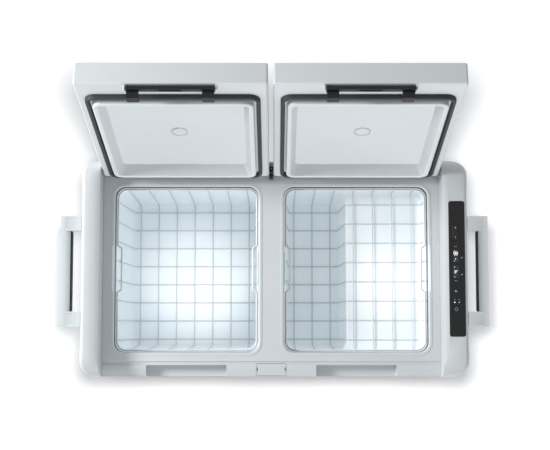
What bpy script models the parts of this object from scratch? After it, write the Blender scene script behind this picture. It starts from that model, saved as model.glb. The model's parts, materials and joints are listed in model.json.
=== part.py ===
"""Twin-lid, dual-zone compressor cooler fridge, standing open on its four feet.

Axes: +X to the control panel end, -Y to the front (latch side), +Z up.
Origin: the middle of the base, on the floor. Lengths are in metres.
"""

import math

import bmesh
import bpy
from mathutils import Matrix, Vector

# Overall sizes of the cabinet
BODY_WIDTH = 0.892
BODY_DEPTH = 0.504
RAIL_TOP = 0.472
DECK_DROP = 0.060
LEFT_RAIL_WIDTH = 0.0434
RIGHT_RAIL_WIDTH = 0.0576
CORNER_RADIUS = 0.036
RAIL_ROLL = 0.048
SIDE_RECESS = 0.002
SIDE_RECESS_MARGIN = 0.064

# Walls and clearances
GAP = 0.0003
SHELL_WALL = 0.004
LINER_WALL = 0.0025
COVER_WALL = 0.003
PANEL_SEAM = 0.0005

# Base
PAN_BOTTOM = 0.006
PAN_TOP = 0.030
PAN_INSET = 0.004
FOOT_RADIUS = 0.020
FOOT_INSET = 0.060
SKID_LENGTH = 0.200
SKID_WIDTH = 0.060

# Deck and compartments
DECK_WALL = 0.004
SKIRT_DEPTH = 0.040
FRONT_BEAM = 0.0380
OPENING_FRONT_MARGIN = 0.0557
OPENING_REAR_MARGIN = 0.0225
OPENING_SIDE_MARGIN = 0.0244
COVER_WIDTH = 0.069
COVER_LENGTH = 0.028
COVER_SETBACK = 0.002
OPENING_RADIUS = 0.024
LINER_SLOPE = 0.036
FLOOR_INSULATION = 0.090
BAY_HEIGHT = 0.252
BAY_ROOF = 0.036
BAY_WALL = 0.034
WELL_WIDTH = 0.149
EVAPORATOR_SHEET = 0.001
EVAPORATOR_MARGIN = 0.022

# Baskets
BASKET_WALL = 0.0024
BASKET_CLEARANCE = 0.005
BASKET_DROP = 0.004

# Lids
LID_THICKNESS = 0.0484
LID_SIDE_GAP = 0.003
LID_CENTRE_GAP = 0.0104
LID_FRONT_MARGIN = 0.0005
HINGE_SETBACK = 0.0363
HINGE_HEIGHT = 0.0115
LID_OPEN_ANGLE = math.radians(105.6)
LID_WALL = 0.003
LID_EDGE_ROUND = 0.004
PLATEAU_HEIGHT = 0.0155
PLATEAU_CLEARANCE = 0.005
PLATEAU_RIM = 0.010
PAN_DEPTH = 0.012
PAN_SLOPE = 0.012
GASKET_WIDTH = 0.009
GASKET_HEIGHT = 0.0100
GASKET_MARGIN = 0.0152
PLUG_RADIUS = 0.0185
PLUG_SETBACK = 0.222
HINGE_PIN_RADIUS = 0.0027
HINGE_PIN_LENGTH = 0.012
BRACKET_WIDTH = 0.0090
BRACKET_LENGTH = 0.030

# Latches
LATCH_WIDTH = 0.178
LATCH_DEPTH = 0.013
LATCH_DROP = 0.0025
LATCH_HEIGHT = 0.010
HOOK_WIDTH = 0.024
HOOK_THICKNESS = 0.012
HOOK_REACH = 0.015
HOOK_GRIP = 0.0025
STRIKE_DEPTH = 0.005
LATCH_PIN_RADIUS = 0.0015
NOTCH_CLEARANCE = 0.005
NOTCH_DEPTH = 0.032
NOTCH_SETBACK = 0.0267

# Control panel
PANEL_WIDTH = 0.0365
PANEL_LENGTH = 0.311
PANEL_OFFSET_X = 0.0025
PANEL_CENTRE_Y = -0.0033
PANEL_RADIUS = 0.005
FASCIA_THICKNESS = 0.003
FASCIA_PROUD = 0.0004
ROCKER_LENGTH = 0.039
ROCKER_WIDTH = 0.0135
ROCKER_Y = 0.0797
DISPLAY_WIDTH = 0.0135
DISPLAY_LENGTH = 0.0295
DISPLAY_Y = (0.0258, -0.0110)
MODE_BUTTON_Y = -0.0560
POWER_BUTTON_Y = -0.0966
BUTTON_RADIUS = 0.0062
LED_Y = -0.0808
LED_SPACING = 0.0100
LED_RADIUS = 0.0012
BOARD_DROP = 0.017

# Handles
HANDLE_SPAN = 0.262
HANDLE_CENTRE_Y = -0.0048
HANDLE_REACH = 0.050
HANDLE_PIVOT_OUT = 0.011
HANDLE_PIVOT_DROP = 0.096
HANDLE_ARM = 0.035
FLANGE = 0.004
STUB_RADIUS = 0.0035
LUG_ROOT = 0.0015
BAR_DEPTH = 0.028
BAR_WIDTH = 0.026
GRIP_THICKNESS = 0.004

# Cooling unit
COMPRESSOR_RADIUS = 0.056
COMPRESSOR_HEIGHT = 0.132
BAY_FLOOR_PLATE = 0.003
GRILLE_LENGTH = 0.196
GRILLE_HEIGHT = 0.150
GRILLE_Z = 0.150
SLAT_COUNT = 7
FAN_SIZE = 0.120
FAN_THICKNESS = 0.025
FAN_BLADES = 7
FIN_COUNT = 11
INLET_LENGTH = 0.070
INLET_HEIGHT = 0.036
INLET_Y = -0.168
INLET_Z = 0.100

# Steps in an arc of a quarter turn
ARC_STEPS = 5

# Places that follow from the sizes
HALF_WIDTH = BODY_WIDTH / 2
FRONT = -BODY_DEPTH / 2
BACK = BODY_DEPTH / 2
DECK = RAIL_TOP - DECK_DROP
LEFT_RAIL = -HALF_WIDTH + LEFT_RAIL_WIDTH
RIGHT_RAIL = HALF_WIDTH - RIGHT_RAIL_WIDTH
LID_WIDTH = (RIGHT_RAIL - LEFT_RAIL - 2 * LID_SIDE_GAP - LID_CENTRE_GAP) / 2
HINGE_Y = BACK - HINGE_SETBACK
HINGE_Z = DECK + HINGE_HEIGHT
LID_FRONT = FRONT + LID_FRONT_MARGIN
LID_TOP = HINGE_Z + LID_THICKNESS
LID_LEFT = LEFT_RAIL + LID_SIDE_GAP
LID_RIGHT = RIGHT_RAIL - LID_SIDE_GAP
CENTRE_X = (LID_LEFT + LID_RIGHT) / 2
LINER_FLOOR = PAN_TOP + FLOOR_INSULATION
BAY_TOP = PAN_TOP + BAY_HEIGHT
SHELF = BAY_TOP + BAY_ROOF
LINER_TOP = DECK - 0.001
SKIRT_BOTTOM = DECK - SKIRT_DEPTH
EVAPORATOR_FIT = EVAPORATOR_SHEET + 2 * GAP


# ---------------------------------------------------------------- scene and materials

def clear_scene():
    for obj in list(bpy.data.objects):
        bpy.data.objects.remove(obj, do_unlink=True)


def new_collection(name):
    collection = bpy.data.collections.new(name)
    bpy.context.scene.collection.children.link(collection)
    return collection


clear_scene()
FRIDGE = new_collection("compressor_cooler_fridge")
CUTTERS = new_collection("cutters")
CUTTERS.hide_render = True

PALETTE = {
    "shell_grey": ((0.60, 0.63, 0.65), 0.45, 0.0),
    "deck_grey": ((0.60, 0.64, 0.66), 0.50, 0.0),
    "liner_white": ((0.82, 0.87, 0.90), 0.35, 0.0),
    "lid_liner_grey": ((0.58, 0.61, 0.63), 0.45, 0.0),
    "foam_cream": ((0.80, 0.74, 0.55), 0.95, 0.0),
    "gasket_black": ((0.03, 0.035, 0.04), 0.75, 0.0),
    "latch_black": ((0.02, 0.02, 0.022), 0.50, 0.0),
    "pan_charcoal": ((0.07, 0.075, 0.08), 0.60, 0.0),
    "rubber_black": ((0.02, 0.02, 0.02), 0.85, 0.0),
    "basket_wire": ((0.78, 0.80, 0.82), 0.35, 0.0),
    "panel_gloss": ((0.012, 0.012, 0.014), 0.12, 0.0),
    "button_black": ((0.02, 0.02, 0.022), 0.35, 0.0),
    "display_glass": ((0.03, 0.03, 0.035), 0.08, 0.0),
    "lens_clear": ((0.85, 0.95, 1.00), 0.15, 0.0),
    "board_green": ((0.03, 0.16, 0.07), 0.60, 0.0),
    "steel": ((0.60, 0.60, 0.60), 0.35, 1.0),
    "aluminium": ((0.75, 0.76, 0.78), 0.40, 1.0),
    "copper": ((0.72, 0.36, 0.20), 0.35, 1.0),
    "compressor_black": ((0.02, 0.02, 0.02), 0.40, 0.0),
}


def paint(obj, finish):
    """Gives an object the one material of this finish."""
    material = bpy.data.materials.get(finish)
    if material is None:
        colour, roughness, metallic = PALETTE[finish]
        material = bpy.data.materials.new(finish)
        material.use_nodes = True
        shader = material.node_tree.nodes["Principled BSDF"]
        shader.inputs["Base Color"].default_value = (*colour, 1.0)
        shader.inputs["Roughness"].default_value = roughness
        shader.inputs["Metallic"].default_value = metallic
    obj.data.materials.clear()
    obj.data.materials.append(material)
    return obj


# ---------------------------------------------------------------- modelling helpers

def link(obj, finish=None):
    """Puts a part with its finish among the parts, or a helper among the cutters."""
    if finish is None:
        CUTTERS.objects.link(obj)
        obj.hide_render = True
        obj.display_type = "WIRE"
    else:
        FRIDGE.objects.link(obj)
        paint(obj, finish)
    return obj


def object_from(name, bm, finish):
    mesh = bpy.data.meshes.new(name)
    bm.to_mesh(mesh)
    bm.free()
    return link(bpy.data.objects.new(name, mesh), finish)


def box(name, low, high, finish=None):
    """A box between two corners, with its object's origin at its middle."""
    low, high = Vector(low), Vector(high)
    bm = bmesh.new()
    bmesh.ops.create_cube(bm, size=1.0)
    bmesh.ops.scale(bm, vec=high - low, verts=bm.verts)
    obj = object_from(name, bm, finish)
    obj.location = (low + high) / 2
    return obj


def boxes(name, corners, finish=None):
    """Several separate boxes in one object, such as the slots of a grille."""
    bm = bmesh.new()
    for low, high in corners:
        low, high = Vector(low), Vector(high)
        made = bmesh.ops.create_cube(bm, size=1.0)["verts"]
        bmesh.ops.scale(bm, vec=high - low, verts=made)
        bmesh.ops.translate(bm, vec=(low + high) / 2, verts=made)
    return object_from(name, bm, finish)


TURN_TO = {
    "Z": Matrix.Identity(4),
    "X": Matrix.Rotation(math.radians(90), 4, "Y"),
    "Y": Matrix.Rotation(math.radians(-90), 4, "X"),
}


def cylinder(name, centre, radius, length, axis="Z", finish=None, sides=20):
    bm = bmesh.new()
    bmesh.ops.create_cone(
        bm, cap_ends=True, segments=sides, radius1=radius, radius2=radius, depth=length
    )
    bmesh.ops.transform(bm, matrix=TURN_TO[axis], verts=bm.verts)
    obj = object_from(name, bm, finish)
    obj.location = centre
    obj.data.shade_smooth()
    obj.data.set_sharp_from_angle(angle=math.radians(40))
    return obj


def arc(centre, radius, start, end, steps=ARC_STEPS):
    """Points along an arc, both ends included, angles in degrees."""
    points = []
    for step in range(steps + 1):
        angle = math.radians(start + (end - start) * step / steps)
        points.append((centre[0] + radius * math.cos(angle), centre[1] + radius * math.sin(angle)))
    return points


def rounded_rectangle(x0, x1, y0, y1, radius):
    corners = (
        (x1 - radius, y0 + radius, -90),
        (x1 - radius, y1 - radius, 0),
        (x0 + radius, y1 - radius, 90),
        (x0 + radius, y0 + radius, 180),
    )
    points = []
    for x, y, start in corners:
        points += arc((x, y), radius, start, start + 90)
    return points


def prism(name, outline, low, high, axis="Z", finish=None):
    """A flat outline extruded from low to high along an axis.

    The outline is in (X, Y) for axis Z, (Y, Z) for axis X and (X, Z) for axis Y.
    """
    curve = bpy.data.curves.new(name, "CURVE")
    curve.dimensions = "2D"
    curve.fill_mode = "BOTH"
    curve.extrude = (high - low) / 2
    spline = curve.splines.new("POLY")
    spline.points.add(len(outline) - 1)
    for point, (u, v) in zip(spline.points, outline):
        point.co = (u, v, 0, 1)
    spline.use_cyclic_u = True
    drawn = bpy.data.objects.new(name + "_outline", curve)
    bpy.context.scene.collection.objects.link(drawn)
    graph = bpy.context.evaluated_depsgraph_get()
    mesh = bpy.data.meshes.new_from_object(drawn.evaluated_get(graph))
    bpy.data.objects.remove(drawn)
    bm = bmesh.new()
    bm.from_mesh(mesh)
    bpy.data.meshes.remove(mesh)
    bmesh.ops.remove_doubles(bm, verts=bm.verts, dist=0.00001)
    bmesh.ops.translate(bm, vec=(0, 0, (low + high) / 2), verts=bm.verts)
    for vert in bm.verts:
        u, v, w = vert.co
        vert.co = {"Z": (u, v, w), "X": (w, u, v), "Y": (u, w, v)}[axis]
    bmesh.ops.recalc_face_normals(bm, faces=bm.faces)
    return object_from(name, bm, finish)


def stack(name, rings, finish=None, hollow=False):
    """Rounded rectangles at their heights, joined in order into one closed skin.

    A ring is (x0, x1, y0, y1, radius, z). A hollow stack joins its last ring to its
    first, which makes a frame; any other has its first and last rings capped.
    """
    bm = bmesh.new()
    loops = []
    for x0, x1, y0, y1, radius, z in rings:
        loops.append([bm.verts.new((x, y, z)) for x, y in rounded_rectangle(x0, x1, y0, y1, radius)])
    pairs = list(zip(loops, loops[1:]))
    if hollow:
        pairs.append((loops[-1], loops[0]))
    for lower, upper in pairs:
        count = len(lower)
        for index in range(count):
            after = (index + 1) % count
            bm.faces.new((lower[index], lower[after], upper[after], upper[index]))
    if not hollow:
        bm.faces.new(loops[0])
        bm.faces.new(loops[-1])
    bmesh.ops.recalc_face_normals(bm, faces=bm.faces)
    return object_from(name, bm, finish)


def turned(name, centre, profile, axis="Z", finish=None, steps=20):
    """A profile of (radius, height) points, top first, spun about an axis."""
    mesh = bpy.data.meshes.new(name)
    points = [(radius, 0, height) for radius, height in profile]
    mesh.from_pydata(points, [(i, i + 1) for i in range(len(points) - 1)], [])
    obj = link(bpy.data.objects.new(name, mesh), finish)
    screw = obj.modifiers.new("turn", "SCREW")
    screw.steps = screw.render_steps = steps
    screw.use_merge_vertices = True
    screw.merge_threshold = 0.00001
    screw.use_smooth_shade = True
    obj.matrix_world = Matrix.Translation(centre) @ TURN_TO[axis]
    return obj


def tube(name, points, radius, finish, resolution=2):
    curve = bpy.data.curves.new(name, "CURVE")
    curve.dimensions = "3D"
    curve.bevel_depth = radius
    curve.bevel_resolution = resolution
    curve.use_fill_caps = True
    spline = curve.splines.new("POLY")
    spline.points.add(len(points) - 1)
    for point, place in zip(spline.points, points):
        point.co = (*place, 1)
    return link(bpy.data.objects.new(name, curve), finish)


def boolean(obj, other, operation):
    modifier = obj.modifiers.new(other.name, "BOOLEAN")
    modifier.operation = operation
    modifier.object = other
    return obj


def cut(obj, *cutters):
    for cutter in cutters:
        boolean(obj, cutter, "DIFFERENCE")
    return obj


def join(obj, *others):
    for other in others:
        boolean(obj, other, "UNION")
    return obj


def keep_common(obj, other):
    return boolean(obj, other, "INTERSECT")


def round_edges(obj, width, segments=1):
    bevel = obj.modifiers.new("round", "BEVEL")
    bevel.width = width
    bevel.segments = segments
    bevel.limit_method = "ANGLE"
    bevel.angle_limit = math.radians(50)
    return obj


def pivot(name, place, parent=None):
    """An empty on a joint's axis, which carries the pieces of one moving body."""
    empty = bpy.data.objects.new(name, None)
    empty.empty_display_size = 0.03
    FRIDGE.objects.link(empty)
    empty.location = place
    if parent is not None:
        empty.parent = parent
        empty.matrix_parent_inverse = Matrix.Translation(parent.location).inverted()
    return empty


def carry(empty, *objects):
    """Hangs objects and their cutters on an empty, where they were modelled."""
    for obj in objects:
        if obj.parent is not None:
            continue
        obj.parent = empty
        obj.matrix_parent_inverse = Matrix.Translation(empty.location).inverted()
        carry(empty, *[m.object for m in obj.modifiers if m.type == "BOOLEAN"])


# ---------------------------------------------------------------- cabinet

def end_cap_solid(name, side, inset, inner, low):
    """A rail end of the cabinet: rounded in plan, and rolled down at front and back."""
    outer = side * (HALF_WIDTH - inset)
    radius = min(CORNER_RADIUS - inset, abs(outer - inner) - PANEL_SEAM)
    front, back = FRONT + inset, BACK - inset
    top = RAIL_TOP - inset
    roll = RAIL_ROLL - inset
    outline = [(side * x, y) for x, y in arc((side * outer - radius, front + radius), radius, -90, 0)]
    outline += [(side * x, y) for x, y in arc((side * outer - radius, back - radius), radius, 0, 90)]
    outline += [(inner, back), (inner, front)]
    profile = [(front, low), (back, low)]
    profile += arc((back - roll, top - roll), roll, 0, 90)
    profile += arc((front + roll, top - roll), roll, 90, 180)
    plan = prism(name, outline, low, top, finish=None if inset else "shell_grey")
    reach = sorted((inner - side * 0.01, outer + side * 0.01))
    return keep_common(plan, prism(name + "_roll", profile, *reach, axis="X"))


def make_end_cap(name, side, rail):
    """A hollow cap: closed above the deck on its inner side, open below it."""
    cap = end_cap_solid(name, side, 0.0, rail, PAN_TOP + GAP)
    hollow = end_cap_solid(name + "_hollow", side, SHELL_WALL, rail + side * SHELL_WALL, PAN_TOP - 0.01)
    inside = sorted((rail - side * 0.01, rail + side * (SHELL_WALL + 0.002)))
    open_side = box(
        name + "_open_side",
        (inside[0], FRONT + SHELL_WALL, PAN_TOP - 0.01),
        (inside[1], BACK - SHELL_WALL, SKIRT_BOTTOM),
    )
    skin = sorted((side * (HALF_WIDTH - SIDE_RECESS), side * (HALF_WIDTH + 0.01)))
    recess = box(
        name + "_recess",
        (skin[0], FRONT + SIDE_RECESS_MARGIN, PAN_TOP - 0.01),
        (skin[1], BACK - SIDE_RECESS_MARGIN, RAIL_TOP + 0.01),
    )
    return cut(cap, hollow, open_side, recess)


def make_handle_lugs(cap, side):
    """Two lugs on an end cap, each with a stub pin through it for one arm of the handle."""
    pivot_x, pivot_z = handle_pivot(side)
    root = side * (HALF_WIDTH - SIDE_RECESS - LUG_ROOT)
    for index, y in enumerate(handle_arms()):
        reach = HANDLE_ARM / 2 - FLANGE - 0.0012
        outline = [(root, pivot_z - 0.006), (pivot_x, pivot_z - 0.006)]
        outline += [(side * x, z) for x, z in arc((side * pivot_x, pivot_z), 0.006, -60, 60)]
        outline += [(pivot_x, pivot_z + 0.006), (root, pivot_z + 0.006)]
        lug = prism(f"{cap.name}_lug_{index}", outline, y - reach, y + reach, axis="Y")
        stub = cylinder(
            f"{cap.name}_stub_{index}", (pivot_x, y, pivot_z), STUB_RADIUS, HANDLE_ARM - 0.001, axis="Y", sides=12
        )
        join(cap, lug, stub)
    return cap


def make_base_pan():
    inset = PAN_INSET
    outer = (-HALF_WIDTH + inset, HALF_WIDTH - inset, FRONT + inset, BACK - inset)
    wall = COVER_WALL
    inner = (outer[0] + wall, outer[1] - wall, outer[2] + wall, outer[3] - wall)
    radius = CORNER_RADIUS - inset
    pan = stack(
        "base_pan",
        [
            (*outer, radius, PAN_BOTTOM),
            (*outer, radius, PAN_TOP),
            (*inner, radius - wall, PAN_TOP),
            (*inner, radius - wall, PAN_BOTTOM + wall),
        ],
        "pan_charcoal",
    )
    skid = box(
        "base_skid",
        (-SKID_LENGTH / 2, -SKID_WIDTH / 2, 0),
        (SKID_LENGTH / 2, SKID_WIDTH / 2, PAN_BOTTOM + wall / 2),
    )
    slots = []
    for index in range(6):
        x = HALF_WIDTH - 0.200 + index * 0.026
        slots.append(((x, -0.060, PAN_BOTTOM - 0.01), (x + 0.010, 0.060, PAN_BOTTOM + 0.01)))
    return cut(join(pan, skid), boxes("base_air_slots", slots))


def make_feet():
    for x_name, x in (("left", -1), ("right", 1)):
        for y_name, y in (("front", -1), ("rear", 1)):
            foot = cylinder(
                f"foot_{y_name}_{x_name}",
                (
                    x * (HALF_WIDTH - FOOT_INSET),
                    y * (BODY_DEPTH / 2 - FOOT_INSET),
                    (PAN_BOTTOM - GAP) / 2,
                ),
                FOOT_RADIUS,
                PAN_BOTTOM - GAP,
                finish="rubber_black",
                sides=16,
            )
            round_edges(foot, 0.001)


def make_wall_panels():
    left, right = LEFT_RAIL + GAP, RIGHT_RAIL - GAP
    low, high = PAN_TOP + GAP, SKIRT_BOTTOM - GAP
    box("front_panel", (left, FRONT, low), (right, FRONT + SHELL_WALL, high), "shell_grey")
    rear = box("rear_panel", (left, BACK - SHELL_WALL, low), (right, BACK, high), "shell_grey")
    slots = []
    for index in range(SLAT_COUNT):
        z = GRILLE_Z - 0.055 + index * 0.016
        slots.append(((bay_left() + 0.03, BACK - 0.01, z), (right - 0.03, BACK + 0.01, z + 0.007)))
    cut(rear, boxes("rear_air_slots", slots))


def make_deck():
    """The top frame: a plate between the rails, a front beam and a rear skirt."""
    left, right = LEFT_RAIL + GAP, RIGHT_RAIL - GAP
    deck = box("top_deck", (left, FRONT, DECK - DECK_WALL), (right, BACK, DECK), "deck_grey")
    beam = box("deck_beam", (left, FRONT, SKIRT_BOTTOM), (right, FRONT + FRONT_BEAM, DECK))
    skirt = box("deck_skirt", (left, BACK - SHELL_WALL, SKIRT_BOTTOM), (right, BACK, DECK))
    join(deck, beam, skirt)
    for index, lid_x in enumerate(lid_lefts()):
        x0, x1, y0, y1 = opening(lid_x)
        hole = prism(
            f"opening_{index}",
            rounded_rectangle(x0 - LINER_WALL - GAP, x1 + LINER_WALL + GAP,
                              y0 - LINER_WALL - GAP, y1 + LINER_WALL + GAP, OPENING_RADIUS),
            SKIRT_BOTTOM - 0.01,
            DECK + 0.01,
        )
        middle = lid_x + LID_WIDTH / 2
        notch_reach = LATCH_WIDTH / 2 + NOTCH_CLEARANCE
        notch_back = FRONT + NOTCH_SETBACK
        notch = box(
            f"latch_notch_{index}",
            (middle - notch_reach, FRONT - 0.01, DECK - NOTCH_DEPTH),
            (middle + notch_reach, notch_back, DECK + 0.01),
        )
        cut(deck, hole, notch)
        hook_tip = HINGE_Z - LATCH_DROP - LATCH_HEIGHT - HOOK_REACH
        strikes = []
        for x in hook_places(lid_x):
            strikes.append((
                (x - HOOK_WIDTH / 2 - 0.001, notch_back - 0.002, hook_tip - 0.003),
                (x + HOOK_WIDTH / 2 + 0.001, notch_back + STRIKE_DEPTH, hook_tip + 0.006),
            ))
        cut(deck, boxes(f"latch_strikes_{index}", strikes))
    cover_x0, cover_x1, cover_y0, cover_y1 = cover_place()
    pocket = box(
        "cover_pocket",
        (cover_x0 - GAP, cover_y0 - GAP, DECK - COVER_WALL - GAP),
        (cover_x1 + GAP, cover_y1 + GAP, DECK + 0.01),
    )
    cut(deck, pocket)
    cover = box(
        "centre_cover",
        (cover_x0, cover_y0, DECK - COVER_WALL),
        (cover_x1, cover_y1, DECK),
        "deck_grey",
    )
    slots = []
    for x in (cover_x0 + 0.0015, cover_x1 - 0.0015):
        middle = (cover_y0 + cover_y1) / 2
        slots.append(((x - 0.0006, middle - 0.004, DECK - 0.001), (x + 0.0006, middle + 0.004, DECK + 0.01)))
    cut(cover, boxes("cover_slots", slots))


def cover_place():
    """The snap-in cover in the middle of the front ledge, between the two lids."""
    front = FRONT + COVER_SETBACK
    return CENTRE_X - COVER_WIDTH / 2, CENTRE_X + COVER_WIDTH / 2, front, front + COVER_LENGTH


def lid_lefts():
    """The left edge of each lid."""
    return LID_LEFT, LID_LEFT + LID_WIDTH + LID_CENTRE_GAP


def opening(lid_x):
    """The clear mouth of the compartment under a lid."""
    return (
        lid_x + OPENING_SIDE_MARGIN,
        lid_x + LID_WIDTH - OPENING_SIDE_MARGIN,
        FRONT + OPENING_FRONT_MARGIN,
        HINGE_Y - OPENING_REAR_MARGIN,
    )


def hook_places(lid_x):
    middle = lid_x + LID_WIDTH / 2
    offset = (LATCH_WIDTH - HOOK_WIDTH) / 2 - 0.002
    return middle - offset, middle + offset


# ---------------------------------------------------------------- compartments

def tub_ring(mouth, z, grow=0.0):
    """The section of a compartment wall at a height, grown outwards by a distance."""
    x0, x1, y0, y1 = mouth
    inset = LINER_SLOPE * (DECK - z) - grow
    return (x0 + inset, x1 - inset, y0 + inset, y1 - inset, OPENING_RADIUS + grow, z)


def tub_solid(name, mouth, low, high, grow=0.0, finish=None):
    return stack(name, [tub_ring(mouth, low, grow), tub_ring(mouth, high, grow)], finish)


def well_mouth(mouth):
    """The mouth whose slope leads down to the deep well beside the shelf."""
    x0, _, y0, y1 = mouth
    return x0, x0 + WELL_WIDTH + 2 * LINER_SLOPE * (DECK - SHELF), y0, y1


def bay_left():
    """The compressor bay starts past the well's far wall and its insulation."""
    x0 = opening(lid_lefts()[1])[0]
    return x0 + WELL_WIDTH + BAY_WALL


def make_deep_tub(name, mouth, floor, top, wall, shrink, finish):
    """A plain thin-walled tub, open at the top."""
    return stack(
        name,
        [
            tub_ring(mouth, floor - wall, wall - shrink),
            tub_ring(mouth, top, wall - shrink),
            tub_ring(mouth, top, -shrink),
            tub_ring(mouth, floor, -shrink),
        ],
        finish,
    )


def make_stepped_tub(name, mouth, floor, shelf, top, wall, shrink, finish):
    """A thin-walled tub with a deep well on its left and a shelf on its right."""
    well = well_mouth(mouth)
    tub = tub_solid(name, mouth, shelf - wall, top, wall - shrink, finish)
    join(tub, tub_solid(name + "_well", well, floor - wall, shelf + 0.004, wall - shrink - 0.00005))
    cut(tub, tub_solid(name + "_inside", mouth, shelf, top + 0.01, -shrink))
    return cut(tub, tub_solid(name + "_well_inside", well, floor, shelf + 0.004, -shrink - 0.00005))


def make_liners():
    left, right = [opening(x) for x in lid_lefts()]
    make_deep_tub("liner_left", left, LINER_FLOOR, LINER_TOP, LINER_WALL, 0.0, "liner_white")
    make_stepped_tub("liner_right", right, LINER_FLOOR, SHELF, LINER_TOP, LINER_WALL, 0.0, "liner_white")


def make_evaporators():
    """A roll-bond sheet is wrapped round each liner, outside its wall."""
    left, right = [opening(x) for x in lid_lefts()]
    spans = (
        ("evaporator_left", left, LINER_FLOOR + EVAPORATOR_MARGIN, SKIRT_BOTTOM - EVAPORATOR_MARGIN),
        ("evaporator_right", well_mouth(right), LINER_FLOOR + EVAPORATOR_MARGIN, SHELF - EVAPORATOR_MARGIN),
    )
    near = LINER_WALL + GAP
    far = near + EVAPORATOR_SHEET
    for name, mouth, low, high in spans:
        rings = [
            tub_ring(mouth, low, far),
            tub_ring(mouth, high, far),
            tub_ring(mouth, high, near),
            tub_ring(mouth, low, near),
        ]
        stack(name, rings, "aluminium", hollow=True)


def make_insulation():
    """The foamed block round both liners, cut away for the compressor bay."""
    margin = SHELL_WALL + GAP
    low = PAN_TOP + GAP
    left, right = -HALF_WIDTH + margin, HALF_WIDTH - margin
    foam = stack(
        "insulation",
        [
            (left, right, FRONT + margin, BACK - margin, CORNER_RADIUS - margin, low),
            (left, right, FRONT + margin, BACK - margin, CORNER_RADIUS - margin, SKIRT_BOTTOM - GAP),
        ],
        "foam_cream",
    )
    upper = box(
        "insulation_upper",
        (LEFT_RAIL + SHELL_WALL, FRONT + FRONT_BEAM + GAP, SKIRT_BOTTOM - 0.005),
        (RIGHT_RAIL - SHELL_WALL, BACK - margin, DECK - DECK_WALL - GAP),
    )
    join(foam, upper)
    openings = [opening(x) for x in lid_lefts()]
    grow = LINER_WALL + EVAPORATOR_FIT
    floor = LINER_FLOOR - LINER_WALL - GAP
    shelf = SHELF - LINER_WALL - GAP
    cut(foam, tub_solid("foam_left_hollow", openings[0], floor, DECK + 0.01, grow))
    cut(foam, tub_solid("foam_shelf_hollow", openings[1], shelf, DECK + 0.01, grow))
    cut(foam, tub_solid("foam_well_hollow", well_mouth(openings[1]), floor, shelf + 0.01, grow - 0.00005))
    bay = box(
        "compressor_bay",
        (bay_left(), FRONT - 0.01, PAN_TOP - 0.01),
        (HALF_WIDTH + 0.01, BACK + 0.01, BAY_TOP),
    )
    rail_space = box(
        "panel_space",
        (RIGHT_RAIL - 0.001, FRONT - 0.01, SKIRT_BOTTOM - 0.04),
        (HALF_WIDTH + 0.01, BACK + 0.01, DECK + 0.01),
    )
    cut(foam, bay, rail_space)


def make_baskets(sliders):
    openings = [opening(x) for x in lid_lefts()]
    shrink = BASKET_CLEARANCE
    floor = LINER_FLOOR + BASKET_WALL + GAP
    shelf = SHELF + BASKET_WALL + GAP
    top = LINER_TOP - BASKET_DROP
    wall = BASKET_WALL
    left = make_deep_tub("basket_left", openings[0], floor, top, wall, shrink, "basket_wire")
    right = make_stepped_tub("basket_right", openings[1], floor, shelf, top, wall, shrink, "basket_wire")
    carry(sliders[0], left)
    carry(sliders[1], right)


def make_interior_lights():
    """A lens on each side of the divider wall, high up in its compartment."""
    left, right = [opening(x) for x in lid_lefts()]
    z0, z1 = LINER_TOP - 0.026, LINER_TOP - 0.012
    inset = LINER_SLOPE * (DECK - z0) + GAP
    box("light_left", (left[1] - inset - 0.0012, -0.04, z0), (left[1] - inset, 0.04, z1), "lens_clear")
    box("light_right", (right[0] + inset, -0.04, z0), (right[0] + inset + 0.0012, 0.04, z1), "lens_clear")


# ---------------------------------------------------------------- lids

def lid_sections(lid_x):
    """Half-finished sizes that the pieces of one lid share."""
    x0, x1 = lid_x, lid_x + LID_WIDTH
    mouth = opening(lid_x)
    clear = PLATEAU_CLEARANCE + LINER_SLOPE * (PLATEAU_HEIGHT - HINGE_HEIGHT)
    plateau = (mouth[0] + clear, mouth[1] - clear, mouth[2] + clear, mouth[3] - clear)
    return x0, x1, plateau


def shrink(rectangle, amount):
    x0, x1, y0, y1 = rectangle
    return x0 + amount, x1 - amount, y0 + amount, y1 - amount


def lid_liner_rings(rim, plateau, offset):
    """The stepped inner skin from its rim to its pan floor, shifted into the lid by offset."""
    radius = OPENING_RADIUS - PLATEAU_CLEARANCE
    base = HINGE_Z + offset
    low = HINGE_Z - PLATEAU_HEIGHT + offset
    pan_mouth = shrink(plateau, PLATEAU_RIM - offset)
    pan_floor = shrink(plateau, PLATEAU_RIM + PAN_SLOPE - offset)
    wall = shrink(plateau, offset)
    return [
        (*rim, 0.003, base),
        (*wall, radius - offset, base),
        (*wall, radius - offset, low),
        (*pan_mouth, radius - PLATEAU_RIM / 2 + offset, low),
        (*pan_floor, radius - PLATEAU_RIM + offset, HINGE_Z + PAN_DEPTH + offset),
    ]


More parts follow.
